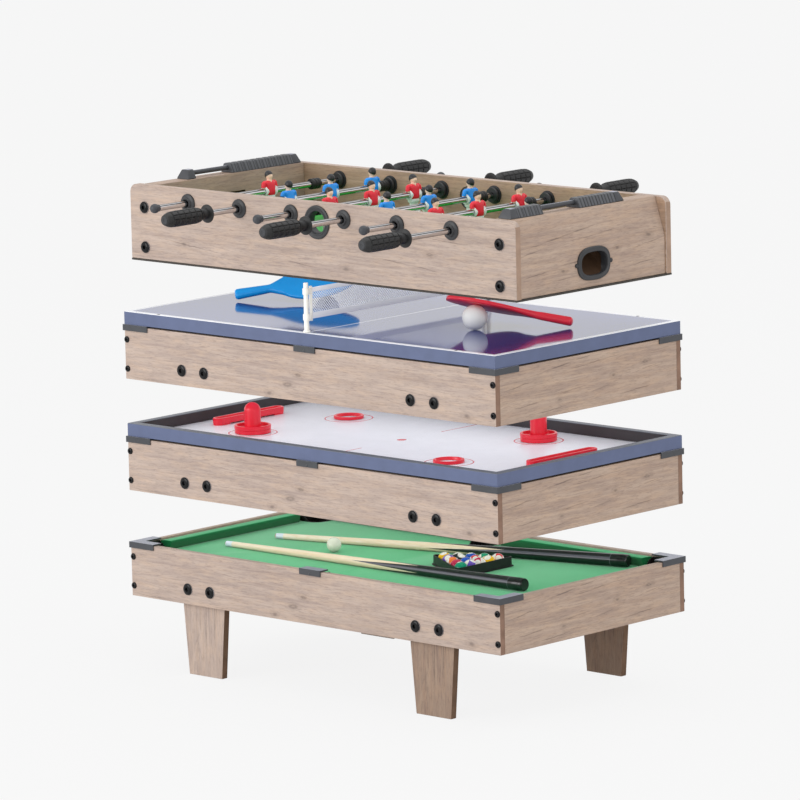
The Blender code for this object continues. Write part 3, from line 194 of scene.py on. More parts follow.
def arc(centre, radius, first, last, steps):
    """Points of a circle about centre, from one angle to another in degrees."""
    turn = np.radians(np.linspace(first, last, steps + 1))
    return list(zip(centre[0] + radius * np.cos(turn), centre[1] + radius * np.sin(turn)))


def ball(radius, rings=24, sides=48):
    """Sphere: (R sin b cos a, R sin b sin a, -R cos b)."""
    return lathe([(radius * math.sin(b), -radius * math.cos(b)) for b in np.linspace(0, math.pi, rings + 1)],
                 sides)


def rectangle(half_x, half_y):
    """Four corners about zero."""
    return [(-half_x, -half_y), (half_x, -half_y), (half_x, half_y), (-half_x, half_y)]


def pill(half_long, radius, steps=12):
    """Outline with straight sides along Y and half-circle ends."""
    straight = half_long - radius
    return [(x, y + straight) for x, y in arc((0, 0), radius, 0, 180, steps)] + \
           [(x, y - straight) for x, y in arc((0, 0), radius, 180, 360, steps)]


def block(low, high, edge=0.0):
    """Box between two corners."""
    low, high = np.array(low, float), np.array(high, float)
    middle, half = (low + high) / 2, (high - low) / 2
    return moved(prism(rectangle(half[0], half[1]), -half[2], half[2], edge), Matrix.Translation(middle))


def border(profile, half_x, half_y):
    """Rows of a frame with mitred corners: each point (inset d, height z) goes round the rectangle less d."""
    return np.array([lifted(rectangle(half_x - d, half_y - d), z) for d, z in profile])


def faces_along(one, axis, mark):
    """The form with another finish on faces whose normal lies along an axis."""
    starts = np.concatenate([[0], np.cumsum(one[2])[:-1]])
    a, b, c = (one[0][one[1][starts + step]] for step in (0, 1, 2))
    normal = np.cross(b - a, c - a)
    normal /= np.maximum(np.linalg.norm(normal, axis=1, keepdims=True), 1e-12)
    return one[0], one[1], one[2], np.where(np.abs(normal[:, axis]) > 0.9, mark, one[3])


def put(name, one, coats, body, nodes=(), edge=0.0, fields=None, angle=35, origin=None):
    """Makes the object of a form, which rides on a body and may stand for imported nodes.

    edge rounds its rims and angle is the sharpest that it shades smooth. fields are values per point, and
    origin is the point that a printed board's own coordinates start from."""
    points, corners, sizes, marks = one
    if origin is not None:
        fields = {"grain": points - origin}
    mesh = bpy.data.meshes.new(name)
    mesh.vertices.add(len(points))
    mesh.vertices.foreach_set("co", points.astype(np.float32).ravel())
    mesh.loops.add(len(corners))
    mesh.loops.foreach_set("vertex_index", corners.astype(np.int32))
    mesh.polygons.add(len(sizes))
    mesh.polygons.foreach_set("loop_start", np.concatenate([[0], np.cumsum(sizes)[:-1]]).astype(np.int32))
    mesh.polygons.foreach_set("material_index", marks.astype(np.int32))
    mesh.update(calc_edges=True)
    for key, values in (fields or {}).items():
        kind = "FLOAT_VECTOR" if values.ndim == 2 else "FLOAT"
        layer = mesh.attributes.new(key, kind, "POINT")
        layer.data.foreach_set("vector" if values.ndim == 2 else "value", values.astype(np.float32).ravel())
    for coat in coats:
        mesh.materials.append(coat)
    work = bmesh.new()
    work.from_mesh(mesh)
    bmesh.ops.remove_doubles(work, verts=work.verts, dist=1e-6)
    bmesh.ops.recalc_face_normals(work, faces=work.faces)
    work.to_mesh(mesh)
    work.free()
    mesh.shade_smooth()
    mesh.set_sharp_from_angle(angle=math.radians(angle))
    item = bpy.data.objects.new(name, mesh)
    bpy.context.scene.collection.objects.link(item)
    if edge:
        rim = item.modifiers.new("rim", "BEVEL")
        rim.width = edge
        rim.segments = 2
        rim.limit_method = "ANGLE"
        rim.angle_limit = math.radians(40)
        rim.harden_normals = True
    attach(item, body)
    if nodes:
        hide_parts(*nodes)
    return item


# Finishes

def tint(red, green, blue):
    """Scene-linear colour of an 8-bit screen colour: ((c + 0.055) / 1.055) ^ 2.4, or c / 12.92 when dark."""
    c = np.array((red, green, blue)) / 255
    return (*np.where(c <= 0.04045, c / 12.92, ((c + 0.055) / 1.055) ** 2.4).tolist(), 1.0)


def shade(colour, gain):
    """Scene-linear colour times a gain, at most 1."""
    return (*np.minimum(np.array(colour[:3]) * gain, 1.0).tolist(), 1.0)


class Tree:
    """Node tree with short ways to add nodes; a value is a number, a colour, a vector or a node's socket."""

    def __init__(self, tree):
        self.tree = tree

    def node(self, kind, values=None, **settings):
        made = self.tree.nodes.new(kind)
        for key, value in settings.items():
            setattr(made, key, value)
        for key, value in (values or {}).items():
            self.feed(made.inputs[key], value)
        return made

    def feed(self, socket, value):
        if isinstance(value, bpy.types.NodeSocket):
            self.tree.links.new(value, socket)
        else:
            socket.default_value = value

    def sum(self, operation, a, b=0.0):
        return self.node("ShaderNodeMath", {0: a, 1: b}, operation=operation).outputs[0]

    def product(self, a, b):
        return self.sum("MULTIPLY", a, b)

    def distance(self, value, middle):
        """|value - middle|."""
        return self.sum("ABSOLUTE", self.sum("SUBTRACT", value, middle))

    def parts(self, vector):
        """The x, y and z of a vector."""
        return self.node("ShaderNodeSeparateXYZ", {"Vector": vector}).outputs


class Finish(Tree):
    """Finish of a piece: a node tree that ends in its shader."""

    def __init__(self, name, roughness=0.5, metallic=0.0, specular=0.5, coat=0.0):
        self.coat = bpy.data.materials.new(name)
        self.coat.use_nodes = True
        super().__init__(self.coat.node_tree)
        self.shader = self.tree.nodes["Principled BSDF"]
        for key, value in (("Roughness", roughness), ("Metallic", metallic), ("Specular IOR Level", specular),
                           ("Coat Weight", coat), ("Coat Roughness", 0.08)):
            self.shader.inputs[key].default_value = value

    def place(self, scale=(1, 1, 1)):
        """Object coordinates, scaled."""
        source = self.node("ShaderNodeTexCoord").outputs["Object"]
        return self.node("ShaderNodeMapping", {"Vector": source, "Scale": scale}).outputs["Vector"]

    def spot(self, where, centre, size, turn=0.0):
        """Coordinates that are 0 at a centre (u, v), and 1 at a size along u and v turned by an angle."""
        return self.node("ShaderNodeMapping", {"Vector": where, "Location": (*centre, 0), "Scale": (*size, 1),
                                               "Rotation": (0, 0, turn)},
                         vector_type="TEXTURE").outputs["Vector"]

    def noise(self, where, scale=1.0, detail=4.0, rough=0.55, twist=0.0):
        return self.node("ShaderNodeTexNoise", {"Vector": where, "Scale": scale, "Detail": detail,
                                                "Roughness": rough, "Distortion": twist}).outputs["Fac"]

    def span(self, value, low, high, first=0.0, last=1.0):
        """Value between low and high, carried to first and last."""
        return self.node("ShaderNodeMapRange", {"Value": value, "From Min": low, "From Max": high,
                                                "To Min": first, "To Max": last}).outputs["Result"]

    def mix(self, share, a, b):
        return self.node("ShaderNodeMix", {0: share, 6: a, 7: b}, data_type="RGBA").outputs[2]

    def attribute(self, name, kind):
        return self.node("ShaderNodeAttribute", attribute_name=name).outputs[kind]

    def upward(self, kind="Normal"):
        """The z of the surface's direction: 1 on top, 0 on a side, -1 underneath."""
        return self.parts(self.node("ShaderNodeNewGeometry").outputs[kind])[2]

    def muted(self, share, colour, calm):
        """Colour that is partly calmer in the light it throws on its surroundings."""
        bounced = self.node("ShaderNodeLightPath").outputs["Is Diffuse Ray"]
        return self.mix(self.product(bounced, share), colour, calm)

    def bump(self, height, strength, distance):
        made = self.node("ShaderNodeBump", {"Height": height, "Strength": strength, "Distance": distance})
        self.feed(self.shader.inputs["Normal"], made.outputs["Normal"])

    def paint(self, colour, roughness=None):
        self.feed(self.shader.inputs["Base Color"], colour)
        if roughness is not None:
            self.feed(self.shader.inputs["Roughness"], roughness)


def moulded(name, colour, roughness=0.4, grain=900.0, depth=0.00003, spread=0.08, specular=0.5, coat=0.0,
            metallic=0.0, level=None):
    """Moulded or painted surface: a faint cloudiness in its tone and sheen, and a fine orange-peel relief.

    level, when given, is a painted highlight: a paler colour for faces that lie level, where they catch the
    light."""
    f = Finish(name, roughness, metallic, specular, coat)
    where = f.place()
    cloud = f.noise(where, 38.0, 3.0)
    peel = f.noise(where, grain, 2.0)
    base = tint(*colour)
    tone = f.mix(f.span(cloud, 0.3, 0.7), shade(base, 1 - 2 * spread), shade(base, 1 + spread))
    # painted highlight: faces whose normal points up take the paler level colour
    if level:
        tone = f.mix(f.span(f.upward("True Normal"), 0.9, 0.98), tone, tint(*level))
    f.paint(tone, f.span(peel, 0.2, 0.8, roughness * 0.85, min(roughness * 1.2, 1.0)))
    f.bump(peel, 0.35, depth)
    return f.coat


def timber(name, axis, light, mid, vein, crack, splits=(), knots=()):
    """Printed oak in the board's own coordinates: bands, short pores, veins, and listed splits and knots.

    grain holds the board's coordinates; u runs along the fibres and v across them. A split is a line from one
    (u, v) to another that wanders with noise and tapers as 4 t (1 - t); a knot is a smudge of rings."""
    f = Finish(name, 0.6, 0.0, 0.3)
    part = f.parts(f.attribute("grain", "Vector"))
    along, across, thick = {"X": (0, 2, 1), "Y": (1, 2, 0), "Z": (2, 0, 1)}[axis]
    flat = f.node("ShaderNodeCombineXYZ", {"X": part[along], "Y": part[across], "Z": part[thick]}).outputs[0]

    def layer(scale_u, scale_v, detail, rough, twist, seed):
        where = f.node("ShaderNodeMapping", {"Vector": flat, "Scale": (scale_u, scale_v, scale_v),
                                             "Location": (seed, seed * 1.7, seed * 0.6)}).outputs["Vector"]
        return f.noise(where, 1.0, detail, rough, twist)

    bands = layer(7.0, 75.0, 4.0, 0.6, 0.6, 1.3)
    streaks = layer(13.0, 260.0, 4.0, 0.65, 0.2, 4.1)
    pores = layer(70.0, 640.0, 3.0, 0.7, 0.2, 7.7)
    veins = layer(4.0, 80.0, 5.0, 0.62, 0.5, 2.2)
    wander = layer(15.0, 15.0, 5.0, 0.68, 0.2, 9.0)
    patches = layer(22.0, 120.0, 4.0, 0.6, 0.5, 6.1)
    warm = tuple(min(255, round(value * gain)) for value, gain in zip(light, (1.05, 1.01, 0.955)))
    colour = f.mix(f.span(bands, 0.34, 0.66), tint(*light), tint(*mid))
    for value, low, high, share, tone in ((patches, 0.44, 0.66, 0.45, warm),
                                          (streaks, 0.46, 0.76, 0.34, vein),
                                          (pores, 0.50, 0.78, 0.6, vein), (veins, 0.56, 0.76, 0.36, vein)):
        colour = f.mix(f.span(value, low, high, 0.0, share), colour, tint(*tone))

    sway = 0.004
    shake = f.node("ShaderNodeCombineXYZ", {"Y": f.span(wander, 0.0, 1.0, -sway, sway)}).outputs[0]
    bent = f.node("ShaderNodeVectorMath", {0: flat, 1: shake}, operation="ADD").outputs[0]
    marks = None
    for (u0, v0), (u1, v1), width in splits:
        size = (math.hypot(u1 - u0, v1 - v0), 1.1 * width)
        t = f.parts(f.spot(bent, (u0, v0), size, math.atan2(v1 - v0, u1 - u0)))
        taper = f.product(f.product(t[0], f.sum("SUBTRACT", 1.0, t[0])), 4.0)
        line = f.span(f.sum("SUBTRACT", taper, f.sum("ABSOLUTE", t[1])), 0.0, 0.5)
        marks = line if marks is None else f.sum("MAXIMUM", marks, line)
    if marks is not None:
        broken = f.span(streaks, 0.38, 0.58, 0.1, 1.0)
        colour = f.mix(f.product(f.product(marks, broken), 0.46), colour, tint(*crack))
    for centre, size in knots:
        at = f.spot(bent, centre, (size * 2.2, size))
        apart = f.node("ShaderNodeVectorMath", {0: at, 1: (1.0, 1.0, 0.0)}, operation="MULTIPLY").outputs[0]
        away = f.node("ShaderNodeVectorMath", {0: apart}, operation="LENGTH").outputs["Value"]
        away = f.sum("ADD", away, f.span(streaks, 0.2, 0.8, -0.45, 0.45))
        rings = f.span(f.sum("SINE", f.product(away, 9.0)), -1.0, 1.0, 0.35, 1.0)
        colour = f.mix(f.product(f.span(away, 1.0, 0.1, 0.0, 0.5), rings), colour, tint(*crack))
    f.paint(colour, f.span(pores, 0.3, 0.7, 0.5, 0.68))
    f.bump(pores, 0.3, 0.00012)
    return f.coat


def ribbed(name, colour, axis, pitch):
    """Moulded plastic with fine ribs: relief |sin(pi x / pitch)| along one axis, with painted shade darkening
    the furrows.
    """
    f = Finish(name, 0.42)
    wave = f.sum("ABSOLUTE", f.sum("SINE", f.product(f.parts(f.place())[axis], math.pi / pitch)))
    peel = f.noise(f.place(), 1300.0, 2.0)
    base = tint(*colour)
    # painted shade: the furrows of the ribs are darkened
    f.paint(f.mix(f.span(wave, 0.1, 0.75), shade(base, 0.12), base))
    f.bump(f.sum("ADD", wave, f.product(peel, 0.1)), 0.6, 0.0004)
    return f.coat


def felt(name, colour, deep, side=None):
    """Woollen cloth: short nap and faint brushed patches, with sheen; side, when given, is painted shade on
    steep faces.
    """
    f = Finish(name, 0.95, 0.0, 0.15)
    f.shader.inputs["Sheen Weight"].default_value = 0.35
    f.shader.inputs["Sheen Roughness"].default_value = 0.5
    where = f.place()
    nap = f.noise(where, 1500.0, 3.0, 0.7)
    patch = f.noise(where, 14.0, 3.0)
    tone = f.mix(f.span(patch, 0.3, 0.7, 0.0, 0.35), tint(*colour), tint(*deep))
    tone = f.mix(f.span(nap, 0.35, 0.75, 0.0, 0.3), tone, tint(*deep))
    # painted shade: steep faces turn to the side colour
    if side:
        tone = f.mix(f.span(f.upward("True Normal"), 0.9, 0.6), tone, tint(*side))
    f.paint(f.muted(0.6, tone, tint(128, 150, 138)))
    f.bump(nap, 0.5, 0.00025)
    return f.coat


def bright_steel(name):
    """Plated steel: a haze that changes along it, a painted dark reflection towards its outline, and a
    painted dark reflection line along it.

    The line lies where the surface's z is about 0.58, where a rod in the room shows a dark reflection."""
    f = Finish(name, 0.12, 1.0)
    haze = f.noise(f.place((300, 60, 300)), 1.0, 3.0)
    bright = f.mix(haze, tint(214, 214, 218), tint(240, 240, 242))
    # painted reflection: a dark line where the surface's z is about 0.58
    line = f.span(f.distance(f.upward(), 0.58), 0.17, 0.08, 0.0, 0.92)
    bright = f.mix(line, bright, tint(46, 44, 44))
    # painted reflection: darker and brownish towards the outline, where the rods mirror their dark
    # surroundings
    rim = f.span(f.node("ShaderNodeLayerWeight", {"Blend": 0.5}).outputs["Facing"], 0.3, 0.8)
    f.paint(f.mix(rim, bright, tint(84, 76, 70)), f.span(haze, 0.2, 0.8, 0.05, 0.14))
    return f.coat


def cue_finish():
    """Maple shaft with long grain, leather tip, ferrule, and a dark butt that runs forward in four points.

    along goes from 0 at the tip to 1 at the butt's end; the splice starts at 0.44 + 0.22 * wave(angle).
    A painted reflection makes the butt paler where the surface's z is about 0.34."""
    f = Finish("cue_lacquer", 0.28, 0.0, 0.5, 0.3)
    along = f.attribute("along", "Fac")
    turned = f.parts(f.attribute("around", "Vector"))
    angle = f.sum("ARCTAN2", turned[1], turned[0])
    wave = f.sum("PINGPONG", f.sum("ADD", f.product(angle, 4 / math.pi), 0.5), 1.0)
    grain = f.noise(f.place((8, 260, 260)), 1.0, 4.0, 0.6, 0.4)
    maple = f.mix(f.span(grain, 0.3, 0.72), tint(255, 246, 228), tint(246, 224, 190))
    maple = f.mix(f.product(f.span(along, 0.03, 0.3), 0.3), maple, tint(250, 206, 156))
    splice = f.sum("ADD", f.product(wave, 0.22), 0.44)
    dark = f.span(f.sum("SUBTRACT", along, splice), -0.0015, 0.0015)
    stain = f.mix(f.span(grain, 0.35, 0.7), tint(38, 35, 37), tint(54, 50, 53))
    stain = f.mix(f.span(along, 0.659, 0.661), stain, tint(26, 25, 27))
    # painted reflection: a lilac-grey band on the dark butt where the surface faces up at about z 0.34
    painted_reflection = f.span(f.distance(f.upward(), 0.34), 0.30, 0.14, 0.0, 0.75)
    painted_reflection = f.product(painted_reflection, f.span(along, 0.956, 0.955))
    colour = f.mix(dark, maple, f.mix(painted_reflection, stain, tint(108, 106, 118)))
    ring = f.span(f.distance(along, 0.955), 0.0012, 0.0006)
    ferrule = f.span(along, 0.0265, 0.0255)
    leather = f.span(along, 0.0046, 0.0042)
    for share, tone in ((ring, (92, 94, 102)), (ferrule, (226, 236, 248)), (leather, (196, 140, 110))):
        colour = f.mix(share, colour, tint(*tone))
    f.paint(colour)
    f.bump(grain, 0.15, 0.00005)
    return f.coat


def ball_finish():
    """Gloss balls: a colour for each, all over or as a band round its z, white spots at the ends of its x."""
    f = Finish("ball_gloss", 0.08, 0.0, 0.6, 0.4)
    way = f.parts(f.attribute("way", "Vector"))
    band = f.product(f.span(f.sum("ABSOLUTE", way[2]), 0.50, 0.53), f.attribute("banded", "Fac"))
    pale = f.mix(f.noise(f.place(), 220.0, 2.0), tint(238, 234, 222), tint(248, 245, 236))
    colour = f.mix(band, f.attribute("ball_tint", "Color"), pale)
    f.paint(f.mix(f.span(f.sum("ABSOLUTE", way[0]), 0.86, 0.88), colour, pale))
    return f.coat


def pitch_finish():
    """Printed pitch: mown stripes across and faint mottling."""
    f = Finish("pitch_print", 0.45, 0.0, 0.4)
    stripe = f.sum("PINGPONG", f.product(f.parts(f.place())[0], 12.0), 1.0)
    blade = f.noise(f.place(), 700.0, 3.0)
    colour = f.mix(f.span(stripe, 0.48, 0.52), tint(14, 150, 44), tint(18, 168, 52))
    colour = f.mix(f.span(blade, 0.35, 0.7, 0.0, 0.25), colour, tint(10, 120, 34))
    f.paint(f.muted(0.5, colour, tint(120, 128, 116)))
    f.bump(blade, 0.15, 0.00005)
    return f.coat


def sawn_edge(name, colour, roughness=0.75, spread=0.12):
    """Sawn or broken edge of a board: matt, blotched, with a rough relief."""
    return moulded(name, colour, roughness, 1400.0, 0.00006, spread, 0.2)


# Oak prints, each as its light, middle, vein and crack colours
GREY_BROWN = ((189, 170, 157), (170, 152, 142), (116, 102, 100), (66, 55, 55))
WARM_BROWN = ((183, 161, 144), (165, 143, 129), (108, 92, 88), (58, 48, 46))
# painted shade: a darker copy of the leg oak, used for the right legs
SHADED_BROWN = ((160, 138, 120), (140, 118, 104), (92, 76, 70), (54, 43, 38))
INNER_BROWN = ((188, 160, 138), (164, 137, 116), (116, 94, 77), (74, 57, 48))

# Splits as (start, end, width) and knots as (centre, size), in the board's own coordinates
FRONT_SPLITS = (((-0.404, 0.006), (-0.300, 0.001), 0.0012), ((0.160, 0.043), (0.310, 0.031), 0.0009),
                ((-0.060, 0.010), (0.080, 0.003), 0.0010), ((-0.230, 0.060), (-0.150, 0.056), 0.0006),
                ((0.020, 0.070), (0.130, 0.066), 0.0006), ((0.300, 0.075), (0.390, 0.069), 0.0007))
FRONT_KNOTS = (((-0.016, 0.042), 0.007), ((-0.040, 0.024), 0.009), ((-0.081, 0.008), 0.006),
               ((0.345, 0.012), 0.008))
END_SPLITS = (((-0.176, 0.064), (0.040, 0.088), 0.0013), ((-0.060, 0.066), (0.090, 0.078), 0.0011),
              ((-0.214, 0.051), (-0.110, 0.063), 0.0011), ((-0.186, 0.019), (-0.095, 0.030), 0.0010),
              ((-0.080, 0.032), (0.000, 0.037), 0.0009), ((0.000, 0.024), (0.050, 0.033), 0.0010),
              ((0.080, 0.040), (0.180, 0.052), 0.0008), ((-0.150, 0.006), (-0.030, 0.014), 0.0008),
              ((0.060, 0.012), (0.170, 0.020), 0.0008))
END_KNOTS = (((0.133, 0.058), 0.007), ((-0.071, 0.023), 0.006), ((0.057, 0.046), 0.006))
CABINET_SPLITS = (((-0.390, 0.045), (-0.180, 0.022), 0.0010), ((-0.120, 0.030), (0.040, 0.016), 0.0009),
                  ((0.100, 0.050), (0.300, 0.030), 0.0010), ((-0.330, 0.100), (-0.230, 0.094), 0.0007),
                  ((0.180, 0.090), (0.340, 0.080), 0.0008))
CABINET_KNOTS = (((-0.300, 0.035), 0.008), ((0.060, 0.024), 0.009), ((0.240, 0.060), 0.008))
LEG_SPLITS = (((-0.110, 0.002), (0.030, 0.006), 0.0012), ((-0.100, -0.018), (-0.030, -0.014), 0.0008),
              ((-0.060, 0.022), (0.020, 0.026), 0.0008))
OAK_X = timber("oak_front", "X", *GREY_BROWN, FRONT_SPLITS, FRONT_KNOTS)
OAK_Y = timber("oak_end", "Y", *WARM_BROWN, END_SPLITS, END_KNOTS)
OAK_Z = timber("oak_leg", "Z", *GREY_BROWN, LEG_SPLITS)
# the right legs' oak with painted shade
OAK_SHADED_LEG = timber("oak_shaded_leg", "Z", *SHADED_BROWN, LEG_SPLITS)
OAK_CABINET = timber("oak_cabinet", "X", *GREY_BROWN, CABINET_SPLITS, CABINET_KNOTS)
OAK_INSIDE = timber("oak_inside", "X", *INNER_BROWN)

# Plain finishes: colour, roughness, grain and depth of the relief, cloudiness, specular, coat, metallic
# painted shade: the inside of the outlet tunnel, darkened far below the raw edge
TUNNEL_SHADE = sawn_edge("tunnel_painted_shade", (66, 46, 30))
RAW_EDGE = sawn_edge("board_edge", (138, 110, 94))
PALE_EDGE = sawn_edge("cabinet_edge", (162, 136, 118), 0.7, 0.1)
LEG_EDGE = sawn_edge("leg_edge", (112, 88, 70))
CLOTH_GREEN = felt("pool_cloth_green", (64, 188, 121), (44, 162, 99))
# the third colour is painted shade on the cushions' steep inner faces
CUSHION_GREEN = felt("cushion_green", (40, 176, 108), (26, 150, 88), (12, 112, 62))
SATIN_BLACK = moulded("cap_plastic", (60, 62, 67), 0.45, 1300.0, 0.00005)
# the level colour paints a highlight on the caps' top faces
CAP_BLACK = moulded("corner_plastic", (60, 62, 67), 0.4, 1300.0, 0.00005, level=(150, 152, 166))
DEEP_BLACK = moulded("rubber_black", (21, 21, 22), 0.48, 1500.0, 0.00006)
GLOSS_BLACK = moulded("bolt_black", (15, 15, 17), 0.14, 900.0, 0.00001, 0.08, 0.24)
# painted highlight: the bolts' grey rim stands in for the light caught by their edge
RIM_HIGHLIGHT = moulded("bolt_rim", (132, 133, 138), 0.35, 900.0, 0.00001, 0.1, 0.5, 0.0, 0.6)
POCKET_BLACK = moulded("pocket_black", (34, 31, 31), 0.28, 900.0, 0.00002)
SLATE = moulded("slate_edge", (86, 97, 130), 0.42, 1100.0, 0.00003, 0.04, 0.5)
RIM_GREY = moulded("rail_top_grey", (104, 108, 118), 0.45, 1100.0, 0.00003, 0.06)
RAIL_BLACK = moulded("rail_inner_black", (58, 52, 55), 0.5, 1100.0, 0.00003, 0.06)
HOCKEY_WHITE = moulded("hockey_white", (238, 238, 245), 0.3, 700.0, 0.00001, 0.015, 0.3)
PRINT_RED = moulded("print_red", (214, 58, 78), 0.25, 900.0, 0.00001, 0.03)
GLOSS_RED = moulded("accessory_red", (236, 28, 54), 0.3, 900.0, 0.00002, 0.03, 0.5, 0.15)
LAVENDER = moulded("tennis_top", (62, 72, 136), 0.06, 500.0, 0.000005, 0.02, 0.5, 0.3)
LINE_WHITE = moulded("line_white", (244, 245, 250), 0.2, 700.0, 0.00001, 0.015)
CREAM = moulded("post_cream", (246, 244, 236), 0.35, 900.0, 0.00002, 0.02)
THREAD = moulded("net_thread", (240, 243, 250), 0.7, 2200.0, 0.00003, 0.03)
PADDLE_BLUE = moulded("paddle_blue_skin", (18, 168, 255), 0.34, 900.0, 0.00003, 0.03)
PADDLE_RED = moulded("paddle_red_skin", (246, 52, 72), 0.3, 900.0, 0.00003, 0.04)
BALL_WHITE = moulded("tennis_ball_white", (244, 244, 242), 0.55, 1300.0, 0.00002, 0.015)
IVORY = moulded("cue_ball_ivory", (236, 238, 220), 0.12, 700.0, 0.00001, 0.02, 0.5, 0.3)
SHIRT_RED = moulded("shirt_red", (232, 30, 52), 0.38, 1300.0, 0.00003, 0.05)
SHIRT_BLUE = moulded("shirt_blue", (14, 146, 240), 0.38, 1300.0, 0.00003, 0.05)
SKIN = moulded("figure_skin", (252, 216, 190), 0.45, 1300.0, 0.00002, 0.03)
HAIR = moulded("figure_hair", (34, 34, 38), 0.4, 1300.0, 0.00003, 0.06)
HUB_WHITE = moulded("figure_white", (232, 240, 236), 0.4, 1300.0, 0.00002, 0.02)
RUBBER_GREY = moulded("rubber_grey", (44, 45, 48), 0.42, 1500.0, 0.00006)
PLUG_GREY = moulded("plug_grey", (46, 48, 52), 0.5, 1300.0, 0.00004)
# score tiles with painted shade in their rib furrows
TILE_BLACK = ribbed("score_tile", (78, 80, 85), 1, 0.0072)
STEEL = bright_steel("rod_steel")
DARK_BOARD = moulded("hardboard", (70, 66, 62), 0.7, 1600.0, 0.00008, 0.1, 0.2)
BROWN_BOARD = moulded("fibreboard", (150, 118, 88), 0.8, 1600.0, 0.0001, 0.12, 0.2)
CUE_LACQUER = cue_finish()
BALL_GLOSS = ball_finish()
PITCH = pitch_finish()


# Boxes

BOLT_HIGH, BOLT_APART, BOLT_END = 0.025, 0.050, 0.004
SCREW_HIGHS = (0.017, 0.065)


def panel(tier, word, x, y, grain, body, level):
    """Box wall between two x and two y; its end grain shows where the grain, 0 for x or 1 for y, ends."""
    board = block((x[0], y[0], level), (x[1], y[1], level + WALL_HIGH))
    put(f"{tier}_{word}_board", faces_along(board, grain, 1), [(OAK_X, OAK_Y)[grain], RAW_EDGE], body,
        [f"{tier}_{word}_panel"], edge=BOARD_EDGE, origin=(0, 0, level))


def cap_section():
    """Section of a cap as distances inwards and heights: plate over the rim, and skirt down the outside."""
    outer, inner, plate, skirt, rest = -0.0023, -0.0003, 0.0170, 0.0798, 0.0873
    return np.array([(outer, skirt), (inner, skirt), (inner, rest), (plate, rest), (plate, CAP_TOP),
                     (outer, CAP_TOP)]).T


def corner_cap():
    """Cap at the corner (+x, -y) of a box: its section runs along one arm, turns by a mitre and runs on."""
    d, z = cap_section()
    arm = 0.053
    return skin(np.array([np.column_stack([np.full(len(d), HALF_X - arm), -HALF_Y + d, z]),
                          np.column_stack([HALF_X - d, -HALF_Y + d, z]),
                          np.column_stack([HALF_X - d, np.full(len(d), -HALF_Y + arm), z])]))


def side_cap():
    """Cap at the middle of the front rim, with the head of the pin that holds it."""
    d, z = cap_section()
    half, face, pin_high = 0.023, 0.0023, 0.0825
    cap = skin(np.array([np.column_stack([np.full(len(d), x), -HALF_Y + d, z]) for x in (-half, half)]))
    pin = lathe([(0.0022, -0.0004), (0.0022, 0.0003), (0.0016, 0.0007), (0.0, 0.0009)], 20)
    return together([cap, moved(pin, place(0, -HALF_Y - face, pin_high) @ outward("Y", -1))])


def hexagon(turn, radius):
    """Distance from the centre to a hexagon's side: R cos 30 / cos(angle from the side's middle)."""
    return radius * math.cos(math.pi / 6) / np.cos((turn % (math.pi / 3)) - math.pi / 6)


def bolt(radius, height, shank_radius, shank, key):
    """Domed head along Z with a hexagon recess, and its shank; a row's radius may change with the angle.

    The two strips of the rim are marked for a second finish, which on the bolts is a painted highlight."""
    sides, foot, lip = 36, 0.25 * height, 0.0006
    turn = np.linspace(0, 2 * math.pi, sides, endpoint=False)
    dome = [(key + lip + (radius - key - lip) * math.cos(a), height * (0.25 + 0.75 * math.sin(a)))
            for a in np.linspace(0.25, math.pi / 2, 6)]
    rows = [(0.0, -shank), (shank_radius, -shank), (shank_radius, -GAP), (radius, -GAP), (radius, foot),
            *dome, (hexagon(turn, key), height * 0.97), (hexagon(turn, key), height * 0.3), (0.0, foot)]
    surface = np.array([np.column_stack([r * np.cos(turn), r * np.sin(turn), np.full(sides, z)])
                        for r, z in rows])
    strips = np.zeros(len(rows) - 1, int)
    # rim strips take the second finish, a painted highlight on the bolts
    strips[3:5] = 1
    return skin(surface, ends=False, marks=strips)


def both_sides(one):
    """Form on the front of a box, and turned round to its back."""
    return together([one, moved(one, Matrix.Rotation(math.pi, 4, "Z"))])


def fasteners(name, head, spots, face, level, body, coats):
    """Heads in the front and back of a box, at spots (x, height) of a face whose y is -face."""
    row = together([moved(head, place(x, -face, z) @ outward("Y", -1)) for x, z in spots])
    put(name, moved(both_sides(row), place(0, 0, level)), coats, body, angle=25)


def game_box(tier, level, body, reach):
    """Four walls, six rim caps, eight bolts and eight screws of one box; reach is a bolt's shank length."""
    for word, sign in (("front", -1), ("back", 1)):
        panel(tier, word, (-HALF_X, HALF_X), sorted((sign * HALF_Y, sign * INNER_Y)), 0, body, level)
    for word, sign in (("left", -1), ("right", 1)):
        panel(tier, word, sorted((sign * HALF_X, sign * INNER_X)), (-INNER_Y + GAP, INNER_Y - GAP), 1, body,
              level)
    corner = corner_cap()
    caps = both_sides(together([corner, moved(corner, Matrix.Scale(-1, 4, (1, 0, 0))), side_cap()]))
    put(f"{tier}_caps", moved(caps, place(0, 0, level)), [CAP_BLACK], body,
        edge=BOARD_EDGE)
    fasteners(f"{tier}_bolts", bolt(0.0098, 0.0036, 0.003, reach, 0.0038),
              [(side * LEG_X + step * BOLT_APART / 2, BOLT_HIGH) for side in SIGNS for step in SIGNS],
              HALF_Y, level, body, [GLOSS_BLACK, RIM_HIGHLIGHT])
    fasteners(f"{tier}_screws", bolt(0.0053, 0.0025, 0.0015, 0.009, 0.0020),
              [(side * (HALF_X - WALL / 2), z) for side in SIGNS for z in SCREW_HIGHS],
              HALF_Y, level, body, [GLOSS_BLACK, GLOSS_BLACK])


